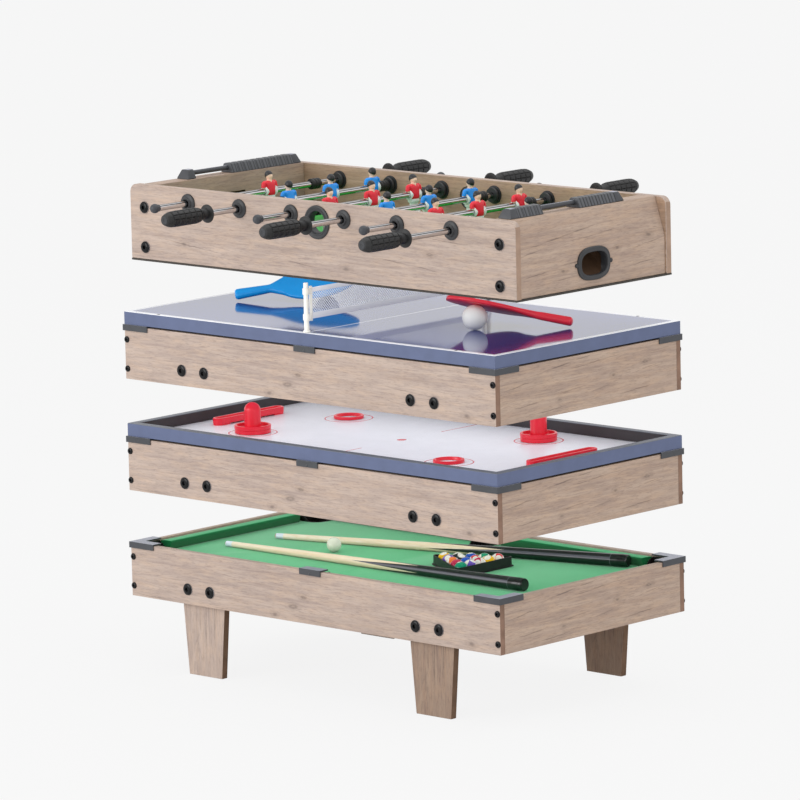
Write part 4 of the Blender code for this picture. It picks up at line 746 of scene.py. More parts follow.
def legs():
    """Boards behind the long walls: straight inside the box, and tapered down to the floor."""
    foot, top, rise = 0.037, 0.047, 0.050
    outline = [(-foot, -POOL), (foot, -POOL), (top, 0), (top, rise), (-top, rise), (-top, 0)]
    flat = prism(outline, -LEG_THICK / 2, LEG_THICK / 2, marks=[1])
    leg = faces_along(moved(flat, Matrix.Rotation(math.pi / 2, 4, "X")), 1, 0)
    # the right legs take the darker oak with painted shade
    for side, across, oak in ((-1, "left", OAK_Z), (1, "right", OAK_SHADED_LEG)):
        for depth, sign in (("front", -1), ("back", 1)):
            centre = (side * LEG_X, sign * LEG_Y, POOL)
            put(f"{depth}_{across}_leg", moved(leg, place(*centre)), [oak, LEG_EDGE], "base",
                [f"leg_{depth}_{across}"], edge=0.0007, origin=centre)


# Pool table

POCKET = 0.0225
POCKET_X, POCKET_Y = INNER_X - POCKET - GAP, INNER_Y - POCKET - GAP
CUSHION_WIDE, CUSHION_TALL = 0.016, 0.0165
FELT_THICK, BED_LOW = 0.001, CLOTH - 0.012
CUE_LONG, CUE_TIP, CUE_BUTT = 0.807 * LENGTH, 0.0045, 0.0105
BALL_RADIUS, CUE_BALL_RADIUS = 0.0112, 0.012
RACK_X, RACK_Y = 0.128, 0.012
CUE_BALL_X, CUE_BALL_Y = -0.150, -0.007


def bed_outline():
    """Bed with notches: each pocket's is a quarter or half circle that runs straight to the walls."""
    x, y = INNER_X - GAP, INNER_Y - GAP
    quarter = arc((POCKET_X, POCKET_Y), POCKET, 270, 180, 8)
    corner = [(x, POCKET_Y - POCKET)] + quarter + [(POCKET_X - POCKET, y)]
    side = [(POCKET, y)] + arc((0, POCKET_Y), POCKET, 360, 180, 16) + [(-POCKET, y)]
    right = np.array(corner)
    upper = np.concatenate([right, side, right[::-1] * (-1, 1)])
    return np.concatenate([upper, upper * (-1, -1)])


def cushion(first, last, wall, turn, name):
    """Cushion strip: a nosed section carried from first to last, its ends slanted over its width."""
    nose = [(0, 0), (0, 0.0160), (0.004, CUSHION_TALL), (0.0150, 0.0150), (CUSHION_WIDE, 0.0125), (0.0120, 0)]
    section = soften(nose, 0.0018, 3)
    t = np.concatenate([[0, 0.004], np.linspace(0.02, 0.98, 15), [0.996, 1]])[:, None]
    slant = 0.010 * section[:, 0] / CUSHION_WIDE
    x = (first + slant) * (1 - t) + (last - slant) * t
    rows = np.stack(np.broadcast_arrays(x, wall - section[:, 0], CLOTH + section[:, 1]), axis=-1)
    strip = moved(skin(rows), Matrix.Rotation(turn, 4, "Z"))
    return put(name, strip, [CUSHION_GREEN], "base", edge=BOARD_EDGE)


def pocket_cup(corner):
    """Plastic pocket: a wall round the notch, as high as the cushions behind and down to the cloth in front.

    Each point of the wall has the height low + (high - low) * smoothstep(how near it lies to the rail)."""
    r = POCKET - 0.0004
    if corner:
        plan = np.array(arc((0, 0), r, 270, 180, 10)
                        + [(-r, r * 0.5), (-r, r), (0, r), (r, r), (r, 0), (r, -r)])
        back = np.clip((plan[:, 0] + plan[:, 1]) / (0.9 * r), 0, 1)
        back = np.maximum(back, np.clip((plan.max(axis=1) - 0.15 * r) / (0.5 * r), 0, 1))
    else:
        plan = np.array(arc((0, 0), r, 360, 180, 20) + [(-r, r * 0.5), (-r, r), (0, r), (r, r), (r, r * 0.5)])
        back = np.clip((plan[:, 1] + 0.35 * r) / (0.7 * r), 0, 1)
    back = back * back * (3 - 2 * back)
    thick, lip = 0.0016, 0.0006
    top = CLOTH + lip + (CUSHION_TALL - 0.0001) * back
    low = CLOTH - 0.017
    inner = inset(plan, thick)
    return skin(np.array([
        lifted(plan, low), np.column_stack([plan, top - lip]), np.column_stack([inset(plan, thick / 2), top]),
        np.column_stack([inner, top - lip]), lifted(inner, low + 0.004),
        lifted(inset(plan, 0.0045), low + thick)]))


def pool_bed():
    """Bed board and the cloth stretched over it."""
    outline = bed_outline()
    board = prism(outline, BED_LOW, CLOTH - FELT_THICK, FINE_EDGE)
    put("bed_board", board, [BROWN_BOARD], "base", ["pool_bed"])
    sheet = prism(outline, CLOTH - FELT_THICK + HAIR_GAP, CLOTH, THIN_EDGE)
    cloth = put("bed_cloth", sheet, [CLOTH_GREEN], "base")


def cushions_and_pockets():
    """Six cushions between six pockets."""
    clear = 0.002
    corner_reach = 2 * POCKET + clear
    for turn, side in ((0, "back"), (math.pi, "front")):
        for sign, word in ((-1, "left"), (1, "right")):
            ends = sorted((sign * (POCKET + clear), sign * (INNER_X - corner_reach)))
            cushion(*ends, INNER_Y - GAP, turn, f"{side}_{word}_cushion")
    short = INNER_Y - corner_reach
    cushion(-short, short, INNER_X - GAP, math.pi / 2, "left_cushion")
    cushion(-short, short, INNER_X - GAP, -math.pi / 2, "right_cushion")
    corner, side = pocket_cup(True), pocket_cup(False)
    cups = [moved(corner, Matrix.Diagonal((sx, sy, 1, 1)) @ place(POCKET_X, POCKET_Y))
            for sx in SIGNS for sy in SIGNS]
    cups += [moved(side, Matrix.Diagonal((1, sy, 1, 1)) @ place(0, POCKET_Y)) for sy in SIGNS]
    put("pockets", together(cups), [POCKET_BLACK], "base")


def cue(name, tip, heading, roll=0.0):
    """Cue laid on the cloth: radius grows from tip to butt, with a domed tip and a rubber end.

    share is what each row keeps of the cone's radius, and roll turns the splice round the cue."""
    slope = math.asin((CUE_BUTT - CUE_TIP) / CUE_LONG)
    lift = CLOTH + GAP + CUE_TIP / math.cos(slope)
    z = np.concatenate([[0, 0.0004, 0.0012, 0.0028, 0.003, 0.0118, 0.012],
                        np.linspace(0.02, CUE_LONG - 0.02, 60),
                        [CUE_LONG - 0.0085, CUE_LONG - 0.008, CUE_LONG - 0.0014, CUE_LONG, CUE_LONG]])
    share = np.ones(len(z))
    share[:5] = (0.0, 0.45, 0.75, 0.93, 0.97)
    share[-5:] = (1.0, 0.97, 0.97, 0.86, 0.0)
    sides = 40
    turn = np.linspace(0, 2 * math.pi, sides, endpoint=False)
    r = ((CUE_TIP + (CUE_BUTT - CUE_TIP) * z / CUE_LONG) * share)[:, None]
    rows = np.stack(np.broadcast_arrays(r * np.cos(turn), r * np.sin(turn), z[:, None]), axis=-1)
    at = place(*tip, lift, heading) @ Matrix.Rotation(math.pi / 2 - slope, 4, "Y")
    around = np.stack([np.cos(turn + roll), np.sin(turn + roll), 0 * turn], axis=-1)
    fields = {"along": np.repeat(z / CUE_LONG, sides), "around": np.tile(around, (len(z), 1))}
    put(f"{name}_stick", moved(skin(rows, ends=False), at), [CUE_LACQUER], name, [name],
        fields=fields)


def cues():
    """One cue near the front, and one that points to the back cushion, its butt just clear of it."""
    play_x, play_y = INNER_X - GAP - CUSHION_WIDE, INNER_Y - GAP - CUSHION_WIDE
    front_y, back_y, clear = -0.075, 0.022, 0.0029
    lean = math.asin((play_y - CUE_BUTT - clear - back_y) / CUE_LONG)
    cue("cue_front", (-0.872 * play_x, front_y), math.radians(0.5))
    cue("cue_back", (-0.822 * play_x, back_y), lean, -0.57)


def racked_balls(pitch, reach):
    """Fifteen balls in five rows, each turned its own way; the colours run row by row from the point."""
    step = pitch * math.sqrt(3) / 2
    spots = [(row * step - reach, (slot - row / 2) * pitch) for row in range(5) for slot in range(row + 1)]
    yellow, blue, red, purple = (250, 196, 26), (30, 84, 190), (222, 52, 60), (112, 84, 190)
    orange, green, maroon, black = (244, 128, 58), (20, 150, 112), (196, 36, 78), (30, 30, 34)
    dressed = [(yellow, 0), (purple, 0), (black, 1), (orange, 1), (black, 0), (blue, 0), (maroon, 0),
               (blue, 0), (red, 1), (green, 1), (green, 0), (purple, 1), (maroon, 1), (yellow, 0), (red, 1)]
    picker = np.random.default_rng(11)
    one = ball(BALL_RADIUS * 0.999, 20, 36)
    way = one[0] / BALL_RADIUS
    forms, tints, bands = [], [], []
    for (x, y), (colour, banded) in zip(spots, dressed):
        axis = Vector((0.73, 0.68, 0.0)) + Vector(picker.normal(scale=0.22, size=3))
        spin = Matrix.Rotation(picker.uniform(0, 6.2), 4, "Z")
        turn = axis.to_track_quat("Z", "X").to_matrix().to_4x4() @ spin
        forms.append(moved(one, place(RACK_X + x, RACK_Y + y, CLOTH + GAP + BALL_RADIUS) @ turn))
        tints.append(np.tile(tint(*colour)[:3], (len(way), 1)))
        bands.append(np.full(len(way), float(banded)))
    fields = {"ball_tint": np.concatenate(tints), "banded": np.concatenate(bands),
              "way": np.tile(way, (len(spots), 1))}
    put("pool_ball_set", together(forms), [BALL_GLOSS], "pool_balls", ["pool_balls"],
        fields=fields)


def rack(inner):
    """Rounded three-sided rack with a foot, round a triangle whose corners lie inner from its centre."""
    low = CLOTH + GAP
    corners = np.array([(math.cos(a), math.sin(a)) for a in (math.pi, -math.pi / 3, math.pi / 3)])
    section = ((0.005, 0.013, 0), (0.008, 0.015, 0), (0.008, 0.015, 0.0018), (0.0045, 0.013, 0.0024),
               (0.004, 0.013, 0.016), (0, 0.010, 0.016), (0, 0.010, 0))
    rows = [lifted(soften(corners * (inner + out), rounding, 10), low + rise)
            for out, rounding, rise in section]
    put("rack", moved(skin(np.array(rows), ring=True), place(RACK_X, RACK_Y)), [DEEP_BLACK], "ball_rack",
        ["ball_rack"], edge=FINE_EDGE)


def pool_balls():
    """Balls in their rack, and the cue ball."""
    pitch = 2 * BALL_RADIUS - 0.0006
    reach = pitch * math.sqrt(3) / 2 * 4 * 2 / 3
    racked_balls(pitch, reach)
    rack(reach + 2 * (BALL_RADIUS + 0.0012))
    centre = (CUE_BALL_X, CUE_BALL_Y, CLOTH + GAP + CUE_BALL_RADIUS)
    white = moved(ball(CUE_BALL_RADIUS, 28, 56), place(*centre))
    put("white_cue_ball", white, [IVORY], "cue_ball", ["cue_ball"])


# Slide hockey

LEFT_PUSHER, RIGHT_PUSHER = (-0.246, -0.091), (0.186, 0.123)
LEFT_PUCK, RIGHT_PUCK = (-0.216, 0.104), (0.205, -0.111)
RAIL_WIDE, GOAL_X = 0.015, 0.345
FIELD_X, FIELD_Y = HALF_X - 0.0152, HALF_Y - 0.0152


def battens(tier, level):
    """Strips under a board, just inside the walls, that keep it from sliding off its box."""
    low, high, out, deep = level + BOARD_LOW - 0.014, level + BOARD_LOW - 0.0001, 0.0008, 0.012
    ring = skin(border([(out, low), (out, high), (deep, high), (deep, low)], INNER_X, INNER_Y), ring=True)
    put(f"{tier}_battens", ring, [DARK_BOARD], tier, edge=FINE_EDGE)


def hockey_board():
    """Rail with slate outside, grey top and black inside, round a glossy white field."""
    low, top, edge = HOCKEY + BOARD_LOW, HOCKEY + BOARD_TOP, 0.0008
    section = [(0, low), (0, top - edge), (edge, top), (RAIL_WIDE - edge, top), (RAIL_WIDE, top - edge),
               (RAIL_WIDE, low)]
    rail = skin(border(section, HALF_X, HALF_Y), ring=True, marks=[0, 1, 1, 1, 2, 2])
    put("hockey_rail", rail, [SLATE, RIM_GREY, RAIL_BLACK], "hockey", ["hockey_board"],
        edge=THIN_EDGE)
    field = prism(rectangle(FIELD_X, FIELD_Y), low, HOCKEY_FIELD, THIN_EDGE)
    put("hockey_field", field, [HOCKEY_WHITE], "hockey")
    battens("hockey", HOCKEY)


def printed_ring(inner, outer):
    """Flat ring of print about zero."""
    return lathe([(inner, 0), (outer, 0), (outer, PRINT_THICK), (inner, PRINT_THICK)], 96, ring=True)


def hockey_prints():
    """Rings under the pushers and pucks, a dot in the middle, and a line from it to each long rail."""
    lift = HOCKEY_FIELD + HAIR_GAP
    ring = printed_ring(0.0382, 0.0404)
    prints = [moved(ring, place(*centre, lift))
              for centre in (LEFT_PUSHER, RIGHT_PUSHER, LEFT_PUCK, RIGHT_PUCK)]
    dot, half, clear = 0.008, 0.001, 0.094
    prints.append(moved(lathe([(0, 0), (dot, 0), (dot, PRINT_THICK), (0, PRINT_THICK)], 48),
                        place(0, 0, lift)))
    for sign in SIGNS:
        ends = sorted((sign * clear, sign * (FIELD_Y - 0.001)))
        prints.append(block((-half, ends[0], lift), (half, ends[1], lift + PRINT_THICK)))
    put("hockey_prints", together(prints), [PRINT_RED], "hockey")


def goal_bar():
    """Low bar with a channel along its top, on two feet with a recess between them."""
    outer, groove, floor = (np.array(pill(*size))
                            for size in ((0.079, 0.0105), (0.0755, 0.0066), (0.0745, 0.0056)))
    parts = [skin(np.array([
        lifted(inset(outer, 0.0006), 0.0022), lifted(outer, 0.0028), lifted(outer, 0.0112),
        lifted(inset(outer, 0.0008), 0.012), lifted(groove, 0.012), lifted(floor, 0.0060)]))]
    radius, last, first = 0.0098, 0.069, 0.052
    for sign in SIGNS:
        foot = [(radius * math.cos(a), sign * last + sign * radius * math.sin(a))
                for a in np.linspace(0, math.pi, 13)]
        foot += [(-radius, sign * first), (radius, sign * first)]
        parts.append(prism(foot, 0.0, 0.0024, THIN_EDGE))
    return together(parts)


def goal_bars():
    """One bar at each end of the field."""
    bars = together([moved(goal_bar(), place(sign * GOAL_X, 0, HOCKEY_FIELD + HAIR_GAP)) for sign in SIGNS])
    put("goal_bars", bars, [GLOSS_RED], "hockey", edge=THIN_EDGE)


def pushers_and_pucks():
    """Pushers with a round knob in a rimmed foot, and ring-shaped pucks."""
    knob, high = 0.0135, 0.050
    profile = [(0, 0), (0.0288, 0), (0.0296, 0.0006), (0.0296, 0.0062), (0.0290, 0.0066), (0.0290, 0.0072),
               (0.0300, 0.0076), (0.0300, 0.0124), (0.0292, 0.0132), (0.0266, 0.0132), (0.0260, 0.0126),
               (0.0257, 0.0094), (0.0250, 0.0088), (0.0150, 0.0088), (knob + 0.0002, 0.0100), (knob, 0.0116)]
    profile += [(knob * math.cos(a), high - knob + knob * math.sin(a))
                for a in np.linspace(0, math.pi / 2, 14)]
    pusher = lathe(profile, 72)
    puck = lathe(soften([(0.0190, 0.0), (0.0250, 0.0), (0.0250, 0.0050), (0.0205, 0.0050)], 0.0008, 3), 72,
                 ring=True)
    for name, one, centre in (("pusher_left", pusher, LEFT_PUSHER), ("pusher_right", pusher, RIGHT_PUSHER),
                              ("puck_left", puck, LEFT_PUCK), ("puck_right", puck, RIGHT_PUCK)):
        item = moved(one, place(*centre, HOCKEY_FIELD + GAP))
        put(f"red_{name}", item, [GLOSS_RED], name, [name], angle=30)


# Table tennis

NET_FOOT, NET_HALF = TENNIS_TOP + GAP, 0.205
NET_LOW, NET_HIGH = NET_FOOT + 0.020, NET_FOOT + 0.070
MESH_LOW, MESH_HIGH, MESH_HALF = NET_LOW + 0.009, NET_HIGH - 0.007, NET_HALF - 0.006
TENNIS_BALL_RADIUS = 0.020


def tennis_board():
    """Board with glossy top, white border and centre line, and dark plugs."""
    low, edge, line, half = TENNIS + BOARD_LOW, 0.0006, 0.0092, 0.0018
    section = [(0, low), (0, TENNIS_TOP - edge), (edge, TENNIS_TOP), (line, TENNIS_TOP)]
    shell = skin(border(section, HALF_X, HALF_Y), marks=[0, 1, 1])
    marks = shell[3].copy()
    marks[-2:] = 0, 2    # the underside and the top
    put("tennis_top_board", (*shell[:3], marks), [SLATE, LINE_WHITE, LAVENDER], "tennis", ["tennis_board"])
    clear = line + 0.0002
    centre_line = block((-half, -HALF_Y + clear, TENNIS_TOP),
                        (half, HALF_Y - clear, TENNIS_TOP + PRINT_THICK))
    put("centre_line", centre_line, [LINE_WHITE], "tennis")
    battens("tennis", TENNIS)
    plug = lathe([(0, 0), (0.0024, 0), (0.0024, 0.0002), (0, 0.0004)], 20)
    plugs = [moved(plug, place(x, sign * (HALF_Y - 0.0045), TENNIS_TOP))
             for x in (-0.331, 0.321) for sign in SIGNS]
    put("board_plugs", together(plugs), [DEEP_BLACK], "tennis")


def net_threads():
    """Fine threads crossing at 45 degrees.

    A thread starts at y = c on the lower band and runs as y = c + s z, cut where it meets the side bands."""
    tall, step, thick, width = MESH_HIGH - MESH_LOW, 0.0049, 0.0002, 0.00035
    starts = np.arange(-MESH_HALF - tall, MESH_HALF, step)
    corner = np.array([(-thick, -width), (thick, -width), (thick, width), (-thick, width)])
    quads = np.array([(0, 1, 5, 4), (1, 2, 6, 5), (2, 3, 7, 6), (3, 0, 4, 7), (0, 3, 2, 1), (4, 5, 6, 7)])
    threads = []
    for slope, base in ((1, starts), (-1, starts + tall)):
        first = np.clip(-MESH_HALF - slope * base, 0, tall)
        last = np.clip(MESH_HALF - slope * base, 0, tall)
        keep = last - first > 0.002
        ends = [np.stack(np.broadcast_arrays(thick * slope + corner[:, 0],
                                             (base + slope * z)[keep, None] + corner[:, 1],
                                             (MESH_LOW + z)[keep, None] - slope * corner[:, 1]), axis=-1)
                for z in (first, last)]
        eights = 8 * np.arange(keep.sum())[None, :, None]
        threads.append(form(np.concatenate(ends, axis=1), [(quads[:, None] + eights).reshape(-1, 4)]))
    put("net_threads", together(threads), [THREAD], "tennis", ["tennis_net"])


def net_bands():
    """Woven bands round the mesh."""
    lap, thick, side_thick = 0.0004, 0.0007, 0.0008
    bands = [block((-thick, -NET_HALF, NET_LOW), (thick, NET_HALF, MESH_LOW + lap), FINE_EDGE),
             block((-thick, -NET_HALF, MESH_HIGH - lap), (thick, NET_HALF, NET_HIGH), FINE_EDGE)]
    for sign in SIGNS:
        y = sorted((sign * NET_HALF, sign * MESH_HALF))
        bands.append(block((-side_thick, y[0], NET_LOW), (side_thick, y[1], NET_HIGH), FINE_EDGE))
    put("net_bands", together(bands), [LINE_WHITE], "tennis")


def net_posts():
    """Two posts, each with a sleeve that holds the net on two clamps, and a ball on the lower clamp."""
    post = lathe(soften([(0.0, 0.0), (0.0058, 0.0), (0.0058, 0.0022), (0.0040, 0.0034), (0.0038, 0.0788),
                         (0.0, 0.0788)], 0.0006, 2, closed=False), 32)
    sleeve = lathe(soften([(0.0, 0.017), (0.0026, 0.017), (0.0026, 0.0725), (0.0, 0.0725)], 0.0005, 2,
                          closed=False), 24)
    clamp = lathe(soften([(0.0041, 0.0), (0.0054, 0.0), (0.0054, 0.010), (0.0041, 0.010)], 0.0005, 2), 32,
                  ring=True)
    bulb = ball(0.0052, 16, 32)
    parts = []
    for sign in SIGNS:
        y = sign * (HALF_Y - 0.006)
        parts.append(moved(post, place(0, y, NET_FOOT)))
        parts.append(moved(sleeve, place(0, sign * (NET_HALF - 0.0026), NET_FOOT)))
        parts.append(moved(bulb, place(0, y - sign * 0.004, NET_FOOT + 0.0215)))
        arm = sorted((y - sign * 0.0045, sign * (NET_HALF - 0.002)))
        for z in (0.019, 0.060):
            low = NET_FOOT + z
            parts.append(moved(clamp, place(0, y, low)))
            parts.append(block((-0.0030, arm[0], low + 0.001), (0.0030, arm[1], low + 0.009), BOARD_EDGE))
    put("net_posts", together(parts), [CREAM], "tennis", angle=40)


def paddle_form():
    """Moulded paddle along +X: at each x a section of half width w(x) and half thickness t(x), edges round.

    The blade is an ellipse. The handle and the neck are lines through points, smoothed where they meet it."""
    long, blade, wide, rounding, meet, last = 0.205, 0.132, 0.108, 0.0045, 0.0807, 0.19
    middle = long - blade / 2

    def oval(x):
        return np.sqrt(np.clip(1 - ((x - middle) / (blade / 2)) ** 2, 0, None)) * wide / 2

    spread = np.linspace(0, 1, 700) * long
    handle = np.interp(spread, [0, 0.006, 0.02, 0.055, 0.075], [0.0100, 0.0108, 0.0098, 0.0078, 0.0092])
    neck = np.interp(spread, [0, 0.048, 0.062, meet], [0, 0, 0.0105, 0.0254])
    half = np.where(spread < meet, np.maximum(handle, neck), oval(spread))
    kernel = np.hanning(41)
    smooth = np.convolve(np.pad(half, 20, mode="edge"), kernel / kernel.sum(), mode="valid")
    blend = np.clip((spread - 0.12) / 0.02, 0, 1)
    half = smooth * (1 - blend) + half * blend
    thick = np.interp(spread, [0, 0.05, 0.09, long], [0.0140, 0.0128, 0.0070, 0.0070])
    ease = np.sqrt(np.clip(1 - (1 - np.clip(spread / rounding, 0, 1)) ** 2, 0, 1))
    x = np.concatenate([[0, 0.0002, 0.0006, 0.0013, 0.0023, 0.0034, 0.0045], np.linspace(0.006, last, 62),
                        middle + blade / 2 * np.cos(np.linspace(0.62, 0.0, 16))])
    loss = rounding * (1 - np.interp(x, spread, ease))
    w = np.where(x > last, oval(x), np.interp(x, spread, half) - loss)
    t = np.interp(x, spread, thick) / 2 - loss
    r = np.minimum(t, np.maximum(w, 1e-5))[:, None]
    turn = np.linspace(-math.pi / 2, math.pi / 2, 9)
    right = np.stack([w[:, None] - r + r * np.cos(turn), r * np.sin(turn)], axis=-1)
    ring = np.concatenate([right, -right], axis=1)
    return skin(np.concatenate([np.repeat(x[:, None, None], ring.shape[1], axis=1), ring], axis=-1))


def paddle_pose(tip, heading, roll):
    """Pose of a paddle that leans on its handle's end and on a ball, and the ball's centre.

    pitch is the angle at which the blade's lower face touches the ball at reach along and side across."""
    thick, handle_w, handle_t, reach, side = 0.007, 0.018, 0.014, 0.150, 0.026
    ball_reach = TENNIS_BALL_RADIUS + GAP
    tip_high = handle_t / 2 * math.cos(roll) + handle_w / 2 * abs(math.sin(roll)) + GAP
    across = side * math.sin(roll) - (thick / 2 + ball_reach) * math.cos(roll)
    pitch = math.asin((ball_reach - tip_high) / math.hypot(reach, across)) - math.atan2(across, reach)
    tip_high += handle_t / 2 * (1 - math.cos(pitch))
    pose = (place(*tip, TENNIS_TOP + tip_high, heading) @ Matrix.Rotation(-pitch, 4, "Y")
            @ Matrix.Rotation(roll, 4, "X"))
    touch = pose @ Vector((reach, side, -thick / 2 - ball_reach))
    return pose, (touch.x, touch.y, TENNIS_TOP + ball_reach)


def paddles():
    """Two paddles, each leaning on a ball."""
    made = paddle_form()
    white = ball(TENNIS_BALL_RADIUS, 36, 72)
    for name, side, coat, slot, tip, heading, roll in (
            ("paddle_blue", "left", PADDLE_BLUE, "blue_rubber", (-0.334, -0.035), 43.6, 22.0),
            ("paddle_red", "right", PADDLE_RED, "red_rubber", (0.317, 0.062), 211.0, 16.0)):
        pose, spot = paddle_pose(tip, math.radians(heading), math.radians(roll))
        put(f"{name}_body", moved(made, pose), [coat], name, [name], angle=50)
        put(f"white_ball_{side}", moved(white, place(*spot)), [BALL_WHITE], f"tennis_ball_{side}",
            [f"tennis_ball_{side}"])


# Foosball

WALL_FOOT, CORNER_RADIUS, WALL_EDGE = 0.0033, 0.014, 0.0008
ENTRY_HIGH, ENTRY_RADIUS = 0.093, 0.0195
OUTLET_X, OUTLET_HIGH = 0.418, 0.040
SCORER_X, SCORER_Y, SCORER_HALF = CABINET_INNER_X + 0.015, 0.034, 0.1325
BEAD_STEP = 0.0144


def web(corners, hole):
    """Faces between four corner numbers and a hole's point numbers, whose quarter k lies next to corner k:
    a fan from each corner over its quarter, and one triangle between neighbouring corners."""
    quarter = len(hole) // 4
    made = []
    for k in range(4):
        near = [hole[(k * quarter + step) % len(hole)] for step in range(quarter + 1)]
        made += [(corners[k], first, second) for first, second in zip(near, near[1:])]
        made.append((corners[k], near[-1], corners[(k + 1) % 4]))
    return np.array(made)


def long_wall():
    """Front wall in its own plane (x, z), thickness along y from 0 at the outer face, with the ball's hole.

    Every outline point has its own point on the hole, along the line to the hole's centre."""
    end, top, radius = CABINET_X - CORNER_RADIUS, CABINET_HIGH - CORNER_RADIUS, CORNER_RADIUS
    across = np.linspace(-0.3, 0.3, 25)
    outline = [(-CABINET_X, WALL_FOOT)] + [(x, WALL_FOOT) for x in across] + [(CABINET_X, WALL_FOOT)]
    outline += arc((end, top), radius, 0, 90, 8) + [(x, CABINET_HIGH) for x in across[::-1]]
    outline = np.array(outline + arc((-end, top), radius, 90, 180, 8))
    away = outline - (0, ENTRY_HIGH)
    inner = (0, ENTRY_HIGH) + ENTRY_RADIUS * away / np.linalg.norm(away, axis=1, keepdims=True)
    rim = inset(outline, WALL_EDGE)
    rows = [np.column_stack([flat[:, 0], np.full(len(flat), y), flat[:, 1]])
            for flat, y in ((inner, 0), (rim, 0), (outline, WALL_EDGE), (outline, CABINET_WALL - WALL_EDGE),
                            (rim, CABINET_WALL), (inner, CABINET_WALL))]
    return skin(np.array(rows), ring=True, marks=[0, 0, 0, 0, 1, 2])


def rod_bush():
    """Bearing along Z out of a wall: rounded flange, collar and sunken mouth; bumper inside the wall."""
    profile = [(0.0054, -0.0204), (0.0118, -0.0204), (0.0123, -0.0197), (0.0123, -0.0165), (0.0105, -0.0158),
               (0.0105, -0.0146), (0.0148, -0.0142), (0.0150, -0.0124), (0.0080, -0.0120), (0.0080, -0.0004),
               (0.0146, -0.0004), (0.0154, 0.0006), (0.0152, 0.0020), (0.0138, 0.0032), (0.0110, 0.0034),
               (0.0100, 0.0040), (0.0096, 0.0060), (0.0088, 0.0068), (0.0072, 0.0068), (0.0064, 0.0060),
               (0.0062, 0.0035), (0.0054, 0.0034)]
    return lathe(profile, 48, ring=True)


def entry_ring():
    """Ring round the ball entry: stepped flange outside and a sleeve through the wall."""
    profile = [(0.0172, -0.0118), (0.0192, -0.0118), (0.0192, -0.0004), (0.0262, -0.0004), (0.0272, 0.0006),
               (0.0268, 0.0022), (0.0252, 0.0032), (0.0236, 0.0032), (0.0226, 0.0024), (0.0214, 0.0024),
               (0.0206, 0.0031), (0.0190, 0.0031), (0.0180, 0.0020), (0.0172, 0.0000)]
    return lathe(profile, 72, ring=True)


def end_block():
    """Right end: a block with a sloped back, a goal mouth and an outlet, and a tunnel between them.

    The tunnel's faces join the outlet's rounded outline and the mouth's rectangle, point to point."""
    half, slope_foot, slope_top = CABINET_INNER_Y - GAP, CABINET_HIGH - 0.060, 0.399

    def opening(x, half_y, half_z, centre, radius):
        flat = soften(rectangle(half_y, half_z), radius, 8)
        return np.column_stack([np.full(len(flat), x), flat[:, 0], flat[:, 1] + centre])

    outlet = opening(OUTLET_X, 0.0335, 0.0185, OUTLET_HIGH, 0.016)
    mouth_high = 0.0170
    mouth = opening(CABINET_INNER_X, 0.0310, mouth_high, PITCH_HIGH + mouth_high, 0.0012)
    profile = ((OUTLET_X, WALL_FOOT), (OUTLET_X, slope_foot), (slope_top, CABINET_HIGH),
               (CABINET_INNER_X, CABINET_HIGH), (CABINET_INNER_X, WALL_FOOT))
    corner = np.array([(x, y, z) for x, z in profile for y in (-half, half)])
    count = len(outlet)
    first, second = np.arange(count), np.arange(count, 2 * count)
    c = 2 * count + np.arange(len(corner))
    tunnel = np.stack([first, np.roll(first, -1), np.roll(second, -1), second], axis=1)
    faces = [tunnel, web([c[0], c[1], c[3], c[2]], list(first)), web([c[8], c[9], c[7], c[6]], list(second)),
             np.array([(c[2], c[3], c[5], c[4]), (c[4], c[5], c[7], c[6]), (c[8], c[9], c[1], c[0])]),
             np.array([c[0::2], c[1::2]])]
    made = form(np.concatenate([outlet, mouth, corner]), faces)
    # tunnel faces take the finish with painted shade
    made[3][:count] = 1
    made[3][-2:] = 2
    return made


def outlet_ring():
    """Black frame round the outlet with a rolled rim and two screw ears, facing +X.

    Its section is a list of half width, half height, corner radius and distance out of the block."""
    section = ((0.0300, 0.0180, 0.016, -0.010), (0.0300, 0.0180, 0.016, 0.0018),
               (0.0308, 0.0188, 0.017, 0.0032), (0.0330, 0.0212, 0.019, 0.0034),
               (0.0342, 0.0224, 0.020, 0.0026), (0.0368, 0.0252, 0.022, 0.0030),
               (0.0380, 0.0264, 0.023, 0.0020), (0.0382, 0.0266, 0.023, 0.0000),
               (0.0330, 0.0185, 0.016, -0.0002), (0.0328, 0.0183, 0.016, -0.010))
    frame_form = skin(np.array([lifted(soften(rectangle(w, h), r * 1.6, 8), z) for w, h, r, z in section]),
                      ring=True)
    ear = lathe([(0, 0.0), (0.0034, 0.0), (0.0034, 0.0018), (0.0022, 0.0030), (0.0010, 0.0034), (0, 0.0030)],
                24)
    ears = [moved(ear, place(sign * 0.0402, 0)) for sign in SIGNS]
    face = Matrix(((0, 0, 1, 0), (1, 0, 0, 0), (0, 1, 0, 0), (0, 0, 0, 1)))
    return moved(together([frame_form, *ears]), place(OUTLET_X, 0, OUTLET_HIGH) @ face)


